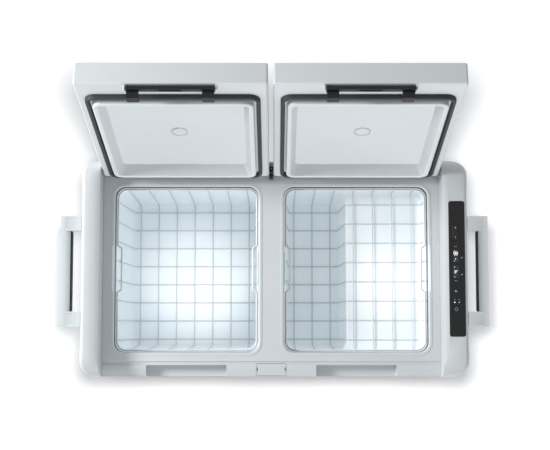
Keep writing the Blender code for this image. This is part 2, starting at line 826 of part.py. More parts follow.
def make_lid(name, lid_x, hinge):
    x0, x1, plateau = lid_sections(lid_x)
    outer = (x0, x1, LID_FRONT, HINGE_Y)
    shell = box(f"{name}_shell", (x0, LID_FRONT, HINGE_Z), (x1, HINGE_Y, LID_TOP), "shell_grey")
    round_edges(shell, LID_EDGE_ROUND, 2)
    inner = shrink(outer, LID_WALL)
    inside = box(
        f"{name}_inside",
        (inner[0], inner[2], HINGE_Z - 0.01),
        (inner[1], inner[3], LID_TOP - LID_WALL),
    )
    cut(shell, inside)

    rim = shrink(inner, GAP)
    lower = lid_liner_rings(rim, plateau, 0.0)
    upper = lid_liner_rings(rim, plateau, LINER_WALL)
    liner = stack(f"{name}_liner", lower[::-1] + upper, "lid_liner_grey")
    add_latch_ears(liner, lid_x)

    above = lid_liner_rings(rim, plateau, LINER_WALL + GAP)
    ceiling = (*rim, 0.003, LID_TOP - LID_WALL - GAP)
    foam = stack(f"{name}_foam", above[::-1] + [ceiling], "foam_cream")

    gasket_outer = (
        x0 + GASKET_MARGIN, x1 - GASKET_MARGIN,
        plateau[2] - PLATEAU_CLEARANCE - GASKET_WIDTH - 0.0015,
        plateau[3] + PLATEAU_CLEARANCE + GASKET_WIDTH + 0.0015,
    )
    gasket_inner = shrink(gasket_outer, GASKET_WIDTH)
    top, bottom = HINGE_Z - GAP, HINGE_Z - GASKET_HEIGHT
    gasket = stack(
        f"{name}_gasket",
        [
            (*gasket_outer, OPENING_RADIUS, bottom),
            (*gasket_outer, OPENING_RADIUS, top),
            (*gasket_inner, OPENING_RADIUS - GASKET_WIDTH, top),
            (*gasket_inner, OPENING_RADIUS - GASKET_WIDTH, bottom),
        ],
        "gasket_black",
        hollow=True,
    )
    plug_z = HINGE_Z + PAN_DEPTH
    plug = cylinder(
        f"{name}_plug",
        ((x0 + x1) / 2, HINGE_Y - PLUG_SETBACK, plug_z - GAP - 0.0006),
        PLUG_RADIUS,
        0.0012,
        finish="lid_liner_grey",
        sides=24,
    )
    carry(hinge, shell, liner, foam, gasket, plug)


def latch_pivot():
    """(y, z) of the latch's pin, with the lid closed."""
    return LID_FRONT + LATCH_DEPTH / 2 + 0.001, HINGE_Z - LATCH_DROP - 0.0045


def add_latch_ears(liner, lid_x):
    """Two ears under the lid hold the ends of the latch's pin."""
    middle = lid_x + LID_WIDTH / 2
    y, z = latch_pivot()
    ears = []
    for side in (-1, 1):
        near = middle + side * (LATCH_WIDTH / 2 + 0.0008)
        far = near + side * 0.004
        ears.append(((min(near, far), y - 0.004, z - 0.004), (max(near, far), y + 0.004, HINGE_Z + 0.001)))
    join(liner, boxes(f"{liner.name}_ears", ears))
    bore = cylinder(
        f"{liner.name}_pin_bore",
        (middle, y, z),
        LATCH_PIN_RADIUS + GAP,
        LATCH_WIDTH + 0.020,
        axis="X",
        sides=12,
    )
    cut(liner, bore)


def make_latch(name, lid_x, hinge, latch_axis):
    middle = lid_x + LID_WIDTH / 2
    y, z = latch_pivot()
    top = HINGE_Z - LATCH_DROP
    y0 = LID_FRONT + 0.001
    lever = box(
        f"{name}_lever",
        (middle - LATCH_WIDTH / 2, y0, top - LATCH_HEIGHT),
        (middle + LATCH_WIDTH / 2, y0 + LATCH_DEPTH, top),
        "latch_black",
    )
    round_edges(lever, 0.0012)
    hook_y0 = y0 + LATCH_DEPTH / 2
    hook_y1 = hook_y0 + HOOK_THICKNESS
    for index, x in enumerate(hook_places(lid_x)):
        tip = top - LATCH_HEIGHT - HOOK_REACH
        nose = FRONT + NOTCH_SETBACK + HOOK_GRIP
        outline = [
            (hook_y0, top - 0.003),
            (hook_y0, tip),
            (hook_y1, tip),
            (nose, tip + 0.001),
            (nose, tip + 0.003),
            (hook_y1, tip + 0.005),
            (y0 + LATCH_DEPTH, top - 0.003),
        ]
        hook = prism(f"{name}_hook_{index}", outline, x - HOOK_WIDTH / 2, x + HOOK_WIDTH / 2, axis="X")
        join(lever, hook)
    bore = cylinder(
        f"{name}_bore", (middle, y, z), LATCH_PIN_RADIUS + GAP, LATCH_WIDTH + 0.02, axis="X", sides=12
    )
    cut(lever, bore)
    pin = cylinder(
        f"{name}_pin", (middle, y, z), LATCH_PIN_RADIUS, LATCH_WIDTH + 0.009,
        axis="X", finish="steel", sides=12,
    )
    carry(hinge, pin)
    carry(latch_axis, lever)


def make_hinges():
    """A bracket with its pin between the lids, and a pin in each rail."""
    half = BRACKET_WIDTH / 2
    front = HINGE_Y - 0.006
    outline = [(front, DECK + GAP)]
    outline += arc((HINGE_Y, HINGE_Z), 0.006, 180, 0, 8)
    outline += [(HINGE_Y + 0.010, HINGE_Z - 0.002), (front + BRACKET_LENGTH, HINGE_Z - 0.002)]
    outline += [(front + BRACKET_LENGTH, DECK + GAP)]
    bracket = prism(
        "hinge_bracket_centre", outline, CENTRE_X - half, CENTRE_X + half, axis="X", finish="latch_black"
    )
    place = (CENTRE_X, HINGE_Y, HINGE_Z)
    cut(bracket, cylinder("hinge_bore", place, HINGE_PIN_RADIUS + GAP, 0.03, axis="X", sides=16))
    cylinder(
        "hinge_pin_centre", place, HINGE_PIN_RADIUS, LID_CENTRE_GAP - 4 * GAP,
        axis="X", finish="steel", sides=16,
    )
    for name, side, rail, cap in (
        ("hinge_pin_left", -1, LEFT_RAIL, "left_end_cap"),
        ("hinge_pin_right", 1, RIGHT_RAIL, "right_end_cap"),
    ):
        inner = rail - side * (LID_SIDE_GAP - GAP)
        centre = (inner + side * HINGE_PIN_LENGTH / 2, HINGE_Y, HINGE_Z)
        cylinder(name, centre, HINGE_PIN_RADIUS, HINGE_PIN_LENGTH, axis="X", finish="steel", sides=16)
        bore = cylinder(
            name + "_bore", (rail, HINGE_Y, HINGE_Z), HINGE_PIN_RADIUS + GAP, 0.04, axis="X", sides=16
        )
        cut(bpy.data.objects[cap], bore)


# ---------------------------------------------------------------- control panel

def panel_x():
    """The panel lies a little outside the middle of its rail."""
    return RIGHT_RAIL + RIGHT_RAIL_WIDTH / 2 + PANEL_OFFSET_X


def capsule(x, y, width, length):
    radius = width / 2
    reach = length / 2 - radius
    return arc((x, y + reach), radius, 0, 180, 8) + arc((x, y - reach), radius, 180, 360, 8)


def make_control_panel(rocker_axis, button_slides):
    x, y = panel_x(), PANEL_CENTRE_Y
    half_width, half_length = PANEL_WIDTH / 2, PANEL_LENGTH / 2
    top = RAIL_TOP + FASCIA_PROUD
    bottom = top - FASCIA_THICKNESS
    window = prism(
        "panel_window",
        rounded_rectangle(x - half_width - GAP, x + half_width + GAP,
                          y - half_length - GAP, y + half_length + GAP, PANEL_RADIUS + GAP),
        RAIL_TOP - 0.02,
        RAIL_TOP + 0.01,
    )
    cut(bpy.data.objects["right_end_cap"], window)
    fascia = prism(
        "control_fascia",
        rounded_rectangle(x - half_width, x + half_width, y - half_length, y + half_length, PANEL_RADIUS),
        bottom,
        top,
        finish="panel_gloss",
    )
    low, high = bottom - 0.01, top + 0.01
    rocker_hole = capsule(x - 0.003, ROCKER_Y, ROCKER_WIDTH + 0.001, ROCKER_LENGTH + 0.001)
    cut(fascia, prism("rocker_hole", rocker_hole, low, high))
    board_top = RAIL_TOP - BOARD_DROP
    board = box(
        "control_board",
        (x - 0.014, y - half_length + 0.012, board_top - 0.0016),
        (x + 0.014, y + half_length - 0.012, board_top),
        "board_green",
    )
    round_edges(board, 0.0005)
    windows = []
    lenses = [(
        (x - 0.0105, min(DISPLAY_Y) - 0.017, board_top + GAP),
        (x + 0.0045, max(DISPLAY_Y) + 0.017, board_top + 0.008),
    )]
    for display_y in DISPLAY_Y:
        near = (x - 0.003 - DISPLAY_WIDTH / 2, display_y - DISPLAY_LENGTH / 2)
        far = (x - 0.003 + DISPLAY_WIDTH / 2, display_y + DISPLAY_LENGTH / 2)
        windows.append(((near[0] - GAP, near[1] - GAP, low), (far[0] + GAP, far[1] + GAP, high)))
        lenses.append(((*near, board_top + 0.004), (*far, top - 0.0002)))
    cut(fascia, boxes("display_windows", windows))
    display = boxes("display_base", lenses[:1], "display_glass")
    display.name = "display_module"
    join(display, boxes("display_lenses", lenses[1:]))

    light_bar = box(
        "status_light_pipe",
        (x - 0.009, LED_Y - 0.002, board_top + GAP),
        (x + 0.009, LED_Y + 0.002, board_top + 0.004),
        "lens_clear",
    )
    for index, offset in enumerate((-0.0066, -0.0066 + LED_SPACING)):
        place = (x + offset, LED_Y, (board_top + 0.002 + top) / 2)
        length = top - 0.0002 - board_top - 0.002
        join(light_bar, cylinder(f"light_post_{index}", place, LED_RADIUS, length, sides=10))
        cut(fascia, cylinder(f"light_hole_{index}", place, LED_RADIUS + GAP, 0.04, sides=10))

    rocker = prism(
        "temperature_rocker",
        capsule(x - 0.003, ROCKER_Y, ROCKER_WIDTH, ROCKER_LENGTH),
        top - 0.0085,
        top + 0.0006,
        finish="button_black",
    )
    carry(rocker_axis, rocker)
    for name, button_y, slide in (
        ("mode_button", MODE_BUTTON_Y, button_slides[0]),
        ("power_button", POWER_BUTTON_Y, button_slides[1]),
    ):
        place = (x - 0.003, button_y, top + 0.0006 - 0.0045)
        button = cylinder(name, place, BUTTON_RADIUS, 0.009, finish="button_black", sides=20)
        cut(fascia, cylinder(name + "_hole", place, BUTTON_RADIUS + 0.0004, 0.04, sides=20))
        carry(slide, button)


# ---------------------------------------------------------------- handles

def handle_pivot(side):
    return side * (HALF_WIDTH + HANDLE_PIVOT_OUT), RAIL_TOP - HANDLE_PIVOT_DROP


def handle_arms():
    """The middle of each arm of a handle along Y."""
    reach = (HANDLE_SPAN - HANDLE_ARM) / 2
    return HANDLE_CENTRE_Y - reach, HANDLE_CENTRE_Y + reach


def bar_outline(side, x_pivot, z, inset=0.0):
    """The grip bar's section: flat on top, and bellied towards the cabinet."""
    outer = x_pivot + side * (HANDLE_REACH - inset)
    inner = x_pivot + side * (HANDLE_REACH - BAR_WIDTH + inset)
    top = z + 0.012 - inset
    bottom = top - BAR_DEPTH + 2 * inset
    ledge = outer - side * 0.009
    return [
        (outer, bottom), (outer, top), (ledge, top),
        ((ledge + inner) / 2, top - 0.003), (inner + side * 0.003, top - 0.009),
        (inner, top - 0.016), (inner + side * 0.002, bottom + 0.004), (inner + side * 0.007, bottom),
    ]


def make_handle(name, side, hinge):
    pivot_x, pivot_z = handle_pivot(side)
    y0 = HANDLE_CENTRE_Y - HANDLE_SPAN / 2
    y1 = HANDLE_CENTRE_Y + HANDLE_SPAN / 2
    handle = prism(name, bar_outline(side, pivot_x, pivot_z), y0, y1, axis="Y", finish="shell_grey")
    arm_x = pivot_x + side * (HANDLE_REACH - BAR_WIDTH / 2)
    flange = [(side * x, z) for x, z in arc((side * pivot_x, pivot_z), 0.009, 90, 270, 6)]
    flange += [(arm_x, pivot_z - 0.012), (arm_x, pivot_z + 0.0115)]
    for index, y in enumerate(handle_arms()):
        edge = HANDLE_ARM / 2
        for flange_index, low in enumerate((y - edge, y + edge - FLANGE)):
            join(handle, prism(f"{name}_flange_{index}_{flange_index}", flange, low, low + FLANGE, axis="Y"))
        web_x = sorted((pivot_x + side * 0.002, arm_x))
        web = box(
            f"{name}_web_{index}",
            (web_x[0], y - edge + 0.001, pivot_z + 0.0068),
            (web_x[1], y + edge - 0.001, pivot_z + 0.0092),
        )
        join(handle, web)
    bore = cylinder(
        f"{name}_bore", (pivot_x, HANDLE_CENTRE_Y, pivot_z), STUB_RADIUS + GAP, HANDLE_SPAN + 0.02, axis="Y", sides=16
    )
    grip_x = pivot_x + side * (HANDLE_REACH - BAR_WIDTH)
    grip_low = y0 + HANDLE_ARM + 0.001
    grip_high = y1 - HANDLE_ARM - 0.001
    seat_x = sorted((grip_x - side * 0.002, grip_x + side * GRIP_THICKNESS))
    seat = box(
        f"{name}_grip_seat",
        (seat_x[0], grip_low - GAP, pivot_z + 0.012 - BAR_DEPTH - 0.01),
        (seat_x[1], grip_high + GAP, pivot_z + 0.004),
    )
    cut(handle, bore, seat)
    grip_edges = sorted((grip_x, grip_x + side * (GRIP_THICKNESS - GAP)))
    grip = box(
        f"{name}_grip",
        (grip_edges[0], grip_low, pivot_z + 0.012 - BAR_DEPTH + 0.001),
        (grip_edges[1], grip_high, pivot_z + 0.004 - GAP),
        "rubber_black",
    )
    round_edges(grip, 0.0012)
    carry(hinge, handle, grip)


# ---------------------------------------------------------------- cooling unit

def make_side_openings():
    """The air grille and the power inlets sit in windows of the right end cap."""
    cap = bpy.data.objects["right_end_cap"]
    skin = HALF_WIDTH - SIDE_RECESS
    half = GRILLE_LENGTH / 2
    low, high = GRILLE_Z - GRILLE_HEIGHT / 2, GRILLE_Z + GRILLE_HEIGHT / 2
    inlet = (INLET_Y - INLET_LENGTH / 2, INLET_Y + INLET_LENGTH / 2)
    inlet_z = (INLET_Z - INLET_HEIGHT / 2, INLET_Z + INLET_HEIGHT / 2)
    windows = [
        ((skin - 0.02, -half, low), (skin + 0.02, half, high)),
        ((skin - 0.02, inlet[0], inlet_z[0]), (skin + 0.02, inlet[1], inlet_z[1])),
    ]
    cut(cap, boxes("end_windows", windows))
    grille = box(
        "air_grille",
        (skin - COVER_WALL, -half + GAP, low + GAP),
        (skin, half - GAP, high - GAP),
        "pan_charcoal",
    )
    pitch = (GRILLE_HEIGHT - 0.016) / SLAT_COUNT
    slots = []
    for index in range(SLAT_COUNT):
        z = low + 0.010 + index * pitch
        for y in (-half + 0.008, 0.004):
            slots.append(((skin - 0.02, y, z), (skin + 0.02, y + half - 0.012, z + pitch * 0.6)))
    cut(grille, boxes("grille_slots", slots))
    plate = box(
        "power_inlets",
        (skin - 0.016, inlet[0] + GAP, inlet_z[0] + GAP),
        (skin, inlet[1] - GAP, inlet_z[1] - GAP),
        "latch_black",
    )
    sockets = boxes(
        "inlet_sockets",
        [
            ((skin - 0.012, INLET_Y - 0.030, INLET_Z - 0.011), (skin + 0.01, INLET_Y - 0.006, INLET_Z + 0.011)),
            ((skin - 0.012, INLET_Y + 0.006, INLET_Z - 0.008), (skin + 0.01, INLET_Y + 0.030, INLET_Z + 0.008)),
        ],
    )
    cut(plate, sockets)


def make_cooling_unit(fan_axis):
    plate_bottom = PAN_BOTTOM + COVER_WALL + GAP
    plate_top = plate_bottom + BAY_FLOOR_PLATE
    bay_x = bay_left()
    middle_x = bay_x + COMPRESSOR_RADIUS + 0.016
    compressor_y = -0.115
    box(
        "compressor_plate",
        (bay_x - 0.010, -0.200, plate_bottom),
        (bay_x + 0.150, 0.110, plate_top),
        "steel",
    )
    radius, height = COMPRESSOR_RADIUS, COMPRESSOR_HEIGHT
    base = plate_top + GAP
    profile = [(0.0001, height)]
    profile += [(r, z) for r, z in arc((radius - 0.032, height - 0.032), 0.032, 90, 0, 4)]
    profile += [(radius, height * 0.55), (radius + 0.004, height * 0.55), (radius + 0.004, height * 0.50)]
    profile += [(radius, height * 0.50), (radius, 0.026), (radius - 0.020, 0.010)]
    profile += [(radius - 0.020, 0.0), (0.0001, 0.0)]
    profile[0], profile[-1] = (0.0, height), (0.0, 0.0)
    turned("compressor", (middle_x, compressor_y, base), profile, finish="compressor_black")

    box(
        "control_module",
        (middle_x - 0.045, compressor_y + radius + 0.012, base),
        (middle_x + 0.045, compressor_y + radius + 0.052, base + 0.110),
        "pan_charcoal",
    )
    coil_x1 = HALF_WIDTH - SIDE_RECESS - COVER_WALL - 0.004
    coil_x0 = coil_x1 - 0.024
    coil_low, coil_high = GRILLE_Z - 0.070, GRILLE_Z + 0.070
    coil = box("condenser_coil", (coil_x0, -0.085, coil_low), (coil_x1, 0.085, coil_high), "aluminium")
    gaps = []
    for index in range(FIN_COUNT):
        y = -0.077 + index * 0.0145
        gaps.append(((coil_x0 + 0.003, y, coil_low - 0.01), (coil_x1 + 0.01, y + 0.009, coil_high + 0.01)))
    cut(coil, boxes("fin_gaps", gaps))

    shroud_x1 = coil_x0 - 0.001
    shroud_x0 = shroud_x1 - FAN_THICKNESS
    half = FAN_SIZE / 2
    centre = ((shroud_x0 + shroud_x1) / 2, 0.0, GRILLE_Z)
    shroud = box(
        "fan_shroud", (shroud_x0, -half, GRILLE_Z - half), (shroud_x1, half, GRILLE_Z + half), "latch_black"
    )
    cut(shroud, cylinder("shroud_bore", centre, half - 0.004, 0.06, axis="X", sides=24))
    spider = boxes(
        "fan_spider",
        [
            ((shroud_x0, -half + 0.001, GRILLE_Z - 0.003), (shroud_x0 + 0.004, half - 0.001, GRILLE_Z + 0.003)),
        ],
    )
    cross = box(
        "fan_cross",
        (shroud_x0, -0.003, GRILLE_Z - half + 0.001),
        (shroud_x0 + 0.004, 0.003, GRILLE_Z + half - 0.001),
    )
    cup = cylinder("fan_cup", (shroud_x0 + 0.002, 0, GRILLE_Z), 0.018, 0.0038, axis="X", sides=16)
    join(shroud, spider, cross, cup)

    rotor_x0 = shroud_x0 + 0.0048
    rotor_x1 = shroud_x1 - 0.001
    rotor = cylinder(
        "fan_rotor", ((rotor_x0 + rotor_x1) / 2, 0, GRILLE_Z), 0.019, rotor_x1 - rotor_x0,
        axis="X", finish="latch_black", sides=21,
    )
    bm = bmesh.new()
    for index in range(FAN_BLADES):
        made = bmesh.ops.create_cube(bm, size=1.0)["verts"]
        bmesh.ops.scale(bm, vec=(0.014, 0.0022, 0.037), verts=made)
        bmesh.ops.rotate(bm, verts=made, cent=(0, 0, 0), matrix=Matrix.Rotation(math.radians(35), 3, "Z"))
        bmesh.ops.translate(bm, verts=made, vec=(0, 0, 0.0345))
        turn = Matrix.Rotation(2 * math.pi * index / FAN_BLADES, 3, "X")
        bmesh.ops.rotate(bm, verts=made, cent=(0, 0, 0), matrix=turn)
    blades = object_from("fan_blades", bm, None)
    blades.location = rotor.location
    join(rotor, blades)
    carry(fan_axis, rotor)

    start = (middle_x, compressor_y + radius - 0.030, base + height + 0.0005)
    rise = [(start[0], start[1], start[2] + 0.012)]
    bend = [(x, start[1], z) for x, z in arc((start[0] + 0.020, rise[0][2] + 0.010), 0.020, 180, 90, 4)]
    tube(
        "discharge_line",
        [start] + rise + bend + [(coil_x0 - 0.040, start[1], bend[-1][2]),
                                 (coil_x0 - 0.012, start[1] + 0.004, bend[-1][2] - 0.012)],
        0.003,
        "copper",
    )


# ---------------------------------------------------------------- assembly

def build():
    make_base_pan()
    make_feet()
    left_cap = make_end_cap("left_end_cap", -1, LEFT_RAIL)
    right_cap = make_end_cap("right_end_cap", 1, RIGHT_RAIL)
    make_handle_lugs(left_cap, -1)
    make_handle_lugs(right_cap, 1)
    make_wall_panels()
    make_deck()
    make_liners()
    make_evaporators()
    make_insulation()
    make_interior_lights()
    make_hinges()
    make_side_openings()

    basket_sliders = []
    for index, lid_x in enumerate(lid_lefts()):
        side = ("left", "right")[index]
        hinge = pivot(f"lid_hinge_{side}", (lid_x + LID_WIDTH / 2, HINGE_Y, HINGE_Z))
        latch_y, latch_z = latch_pivot()
        latch_axis = pivot(f"latch_axis_{side}", (lid_x + LID_WIDTH / 2, latch_y, latch_z), parent=hinge)
        make_lid(f"lid_{side}", lid_x, hinge)
        make_latch(f"latch_{side}", lid_x, hinge, latch_axis)
        hinge.rotation_euler = (-LID_OPEN_ANGLE, 0, 0)
        basket_sliders.append(pivot(f"basket_slide_{side}", (lid_x + LID_WIDTH / 2, 0, LINER_FLOOR)))
    make_baskets(basket_sliders)

    button_x = panel_x() - 0.003
    rocker_axis = pivot("rocker_axis", (button_x, ROCKER_Y, RAIL_TOP - 0.008))
    slides = [
        pivot("mode_button_slide", (button_x, MODE_BUTTON_Y, RAIL_TOP)),
        pivot("power_button_slide", (button_x, POWER_BUTTON_Y, RAIL_TOP)),
    ]
    make_control_panel(rocker_axis, slides)

    for side_name, side in (("left", -1), ("right", 1)):
        x, z = handle_pivot(side)
        hinge = pivot(f"handle_hinge_{side_name}", (x, HANDLE_CENTRE_Y, z))
        make_handle(f"handle_{side_name}", side, hinge)

    coil_x0 = HALF_WIDTH - SIDE_RECESS - COVER_WALL - 0.028
    fan_axis = pivot("fan_axis", (coil_x0 - 0.001 - FAN_THICKNESS / 2, 0, GRILLE_Z))
    make_cooling_unit(fan_axis)


build()
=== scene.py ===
"""Looks of a twin-lid compressor cooler fridge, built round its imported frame.

Every finished piece keeps its object at the origin, with its place in its mesh. Lengths are in
metres, +X runs to the control panel end, -Y to the front and +Z up.
"""

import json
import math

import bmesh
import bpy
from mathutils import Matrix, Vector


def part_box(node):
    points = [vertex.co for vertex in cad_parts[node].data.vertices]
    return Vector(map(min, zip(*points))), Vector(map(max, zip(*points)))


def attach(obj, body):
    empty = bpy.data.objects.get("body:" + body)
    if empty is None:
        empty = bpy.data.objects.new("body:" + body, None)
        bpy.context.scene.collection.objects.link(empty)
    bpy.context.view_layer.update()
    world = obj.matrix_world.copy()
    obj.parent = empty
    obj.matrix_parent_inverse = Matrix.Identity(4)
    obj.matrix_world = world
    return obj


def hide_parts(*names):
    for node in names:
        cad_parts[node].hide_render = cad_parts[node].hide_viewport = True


bl_info = {
    "name": "Cooler fridge looks",
    "version": (1, 0, 0),
    "blender": (4, 5, 0),
    "location": "View3D > Sidebar > Cooler fridge",
    "description": "Builds the outer pieces and finishes of a twin-lid compressor cooler fridge",
    "category": "Object",
}

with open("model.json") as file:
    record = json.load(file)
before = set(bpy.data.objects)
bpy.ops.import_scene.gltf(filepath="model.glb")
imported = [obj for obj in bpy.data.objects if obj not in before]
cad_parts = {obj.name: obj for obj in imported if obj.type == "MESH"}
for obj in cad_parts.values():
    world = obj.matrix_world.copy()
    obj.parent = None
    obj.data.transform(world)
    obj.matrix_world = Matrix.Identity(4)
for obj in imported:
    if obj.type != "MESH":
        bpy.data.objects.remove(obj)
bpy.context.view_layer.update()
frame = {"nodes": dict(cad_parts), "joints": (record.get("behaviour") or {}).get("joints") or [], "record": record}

JOINTS = {joint["name"]: joint for joint in frame["joints"]}
OPENINGS = {item["name"]: item["box_m"] for item in frame["record"]["physics"]["openings"]}


def node_box(node):
    """A node's box as (x0, x1, y0, y1, z0, z1)."""
    low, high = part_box(node)
    return low.x, high.x, low.y, high.y, low.z, high.z


# Places read from the frame
DECK_BOX = node_box("top_deck")
FRONT, BACK, DECK = DECK_BOX[2], DECK_BOX[3], DECK_BOX[5]
SKIRT_BOTTOM = DECK_BOX[4]
LEFT_CAP, RIGHT_CAP = node_box("left_end_cap"), node_box("right_end_cap")
CAP_LOW, RAIL_TOP = LEFT_CAP[4], LEFT_CAP[5]
FASCIA_BOX = node_box("control_fascia")
HALF_WIDTH = node_box("insulation")[1] + 0.0043
LEFT_RAIL, RIGHT_RAIL = LEFT_CAP[1], RIGHT_CAP[0]
HINGE = Vector(JOINTS["lid_left_hinge"]["pos_m"])

# Sizes that the pieces share
LINER_WALL = 0.0025
WALL_SLOPE = 0.036
MOUTH_RADIUS = 0.024
CORNER_RADIUS = 0.036
RAIL_ROLL = 0.048
CORNER_STEPS = 8
FLANGE_TOP = 0.0011
JOG_HALF = 0.051
JOG_EASE = 0.006
STRAIGHT = (0.0, 0.0)
BASKET_TOP = 0.022
SHELF_CLEARANCE = 0.0057
# Strength of the painted glow on the liners, which stands in for the light inside the compartments.
INNER_PAINTED_GLOW = 0.20
MARK_HEIGHT = 0.00015
WIRE_GAP = 0.0040
LEAST_RADIUS = 0.0004
CAMERA_PLACE = (0.0016, -0.1398, 3.132)
CAMERA_TILT = math.radians(5.087)
CAMERA_LENS = 75.91
SIDES = (("left", -1), ("right", 1))


# ---------------------------------------------------------------- settings

class CoolerSizes(bpy.types.PropertyGroup):
    """Sizes that a user would change."""

    rail_round: bpy.props.FloatProperty(
        name="Rail edge", description="Rounding of the rails' top outer edge", default=0.010, unit="LENGTH")
    rail_chamfer: bpy.props.FloatProperty(
        name="Rail chamfer", description="Width of the slope inside each rail",
        default=0.0115, unit="LENGTH")
    flange_width: bpy.props.FloatProperty(
        name="Liner flange", description="Width of the rim round each opening",
        default=0.0078, unit="LENGTH")
    floor_fillet: bpy.props.FloatProperty(
        name="Floor fillet", description="Rounding where a liner's wall meets its floor",
        default=0.013, unit="LENGTH")
    wire_radius: bpy.props.FloatProperty(
        name="Basket wire", description="Radius of a basket's grid wire", default=0.00145, unit="LENGTH")
    frame_wire_radius: bpy.props.FloatProperty(
        name="Frame wire", description="Radius of a basket's top wire", default=0.0021, unit="LENGTH")
    jog_depth: bpy.props.FloatProperty(
        name="Finger jog", description="How far the top wire steps inwards for fingers",
        default=0.0095, unit="LENGTH")
    lid_edge: bpy.props.FloatProperty(
        name="Lid edge", description="Rounding of the lids' outer edges", default=0.0041, unit="LENGTH")
    edge_round: bpy.props.FloatProperty(
        name="Moulded edge", description="Rounding of the smaller moulded parts",
        default=0.0009, unit="LENGTH")
    grip_ribs: bpy.props.IntProperty(
        name="Grip ribs", description="Number of ribs on each handle's grip", default=31, min=2)


class CoolerColours(bpy.types.PropertyGroup):
    """Base colours of the main finishes."""

    shell: bpy.props.FloatVectorProperty(
        name="Shell", description="Moulded shell", subtype="COLOR", size=3, default=(0.60, 0.63, 0.645))
    deck: bpy.props.FloatVectorProperty(
        name="Deck", description="Top deck", subtype="COLOR", size=3, default=(0.60, 0.635, 0.655))
    liner: bpy.props.FloatVectorProperty(
        name="Liner", description="Compartment liners", subtype="COLOR", size=3, default=(0.75, 0.81, 0.84))
    lid_inner: bpy.props.FloatVectorProperty(
        name="Lid inner", description="Inner side of the lids", subtype="COLOR", size=3,
        default=(0.61, 0.64, 0.655))
    seal: bpy.props.FloatVectorProperty(
        name="Seal", description="Lid gaskets", subtype="COLOR", size=3, default=(0.022, 0.030, 0.030))
    trim: bpy.props.FloatVectorProperty(
        name="Trim", description="Latches and hinge", subtype="COLOR", size=3,
        default=(0.006, 0.006, 0.007))


class CoolerLight(bpy.types.PropertyGroup):
    """Strengths of the studio light."""

    world: bpy.props.FloatProperty(
        name="World", description="Even light from all round", default=0.53, min=0)
    key: bpy.props.FloatProperty(
        name="Key", description="Large soft light at the rear left", default=92.0, subtype="POWER")
    fill: bpy.props.FloatProperty(
        name="Fill", description="Low soft light from the front", default=20.0, subtype="POWER")
    lids: bpy.props.FloatProperty(
        name="Lid light", description="Low light from the front that only the lids take",
        default=42.0, subtype="POWER")
    lift: bpy.props.FloatProperty(
        name="Lift", description="Light on the handle that the body shades", default=16.0, subtype="POWER")
    floor: bpy.props.FloatProperty(
        name="Floor light", description="Overhead light that only the floor takes",
        default=60.0, subtype="POWER")
    glow: bpy.props.FloatProperty(
        name="Glow", description="Light inside each compartment", default=2.7, subtype="POWER")


# ---------------------------------------------------------------- finishes

FINISHES = {}


def new_finish(name):
    material = bpy.data.materials.new(name)
    material.use_nodes = True
    FINISHES[name] = material
    nodes, links = material.node_tree.nodes, material.node_tree.links
    return nodes, links, nodes["Principled BSDF"]


def object_place(nodes, links, stretch=(1, 1, 1)):
    """Object coordinates, through a Mapping node where a pattern is stretched."""
    place = nodes.new("ShaderNodeTexCoord").outputs["Object"]
    if stretch == (1, 1, 1):
        return place
    mapping = nodes.new("ShaderNodeMapping")
    mapping.inputs["Scale"].default_value = stretch
    links.new(place, mapping.inputs["Vector"])
    return mapping.outputs["Vector"]


def noise(nodes, links, place, scale, detail=3.0):
    texture = nodes.new("ShaderNodeTexNoise")
    texture.inputs["Scale"].default_value = scale
    texture.inputs["Detail"].default_value = detail
    links.new(place, texture.inputs["Vector"])
    return texture.outputs["Fac"]


def ramp_colour(nodes, links, value, colour, spread):
    """A colour that drifts a little, darker to lighter, with a texture's value."""
    ramp = nodes.new("ShaderNodeValToRGB")
    for element, place, share in zip(ramp.color_ramp.elements, (0.3, 0.7), (1 - spread, 1 + spread)):
        element.position = place
        element.color = (*[min(part * share, 1.0) for part in colour], 1)
    links.new(value, ramp.inputs["Fac"])
    return ramp.outputs["Color"]


def between(nodes, links, value, low, high):
    spread = nodes.new("ShaderNodeMapRange")
    spread.inputs["To Min"].default_value = low
    spread.inputs["To Max"].default_value = high
    links.new(value, spread.inputs["Value"])
    return spread.outputs["Result"]


def relief(nodes, links, shader, height, strength, distance):
    bump = nodes.new("ShaderNodeBump")
    bump.inputs["Strength"].default_value = strength
    bump.inputs["Distance"].default_value = distance
    links.new(height, bump.inputs["Height"])
    links.new(bump.outputs["Normal"], shader.inputs["Normal"])


def moulded(name, colour, roughness, grain=900, depth=0.00006, drift=0.025, coat=0.0, subsurface=0.0):
    """A moulded plastic: a slow drift of tone, a fine spark-eroded grain and uneven gloss."""
    nodes, links, shader = new_finish(name)
    place = object_place(nodes, links)
    broad = noise(nodes, links, place, 6.0, 4.0)
    links.new(ramp_colour(nodes, links, broad, colour, drift), shader.inputs["Base Color"])
    mid = noise(nodes, links, place, 60.0, 2.0)
    links.new(between(nodes, links, mid, roughness - 0.05, roughness + 0.07), shader.inputs["Roughness"])
    relief(nodes, links, shader, noise(nodes, links, place, grain, 2.0), 0.35, depth)
    shader.inputs["Coat Weight"].default_value = coat
    shader.inputs["Coat Roughness"].default_value = 0.12
    shader.inputs["Subsurface Weight"].default_value = subsurface
    shader.inputs["Subsurface Radius"].default_value = (0.004, 0.004, 0.004)


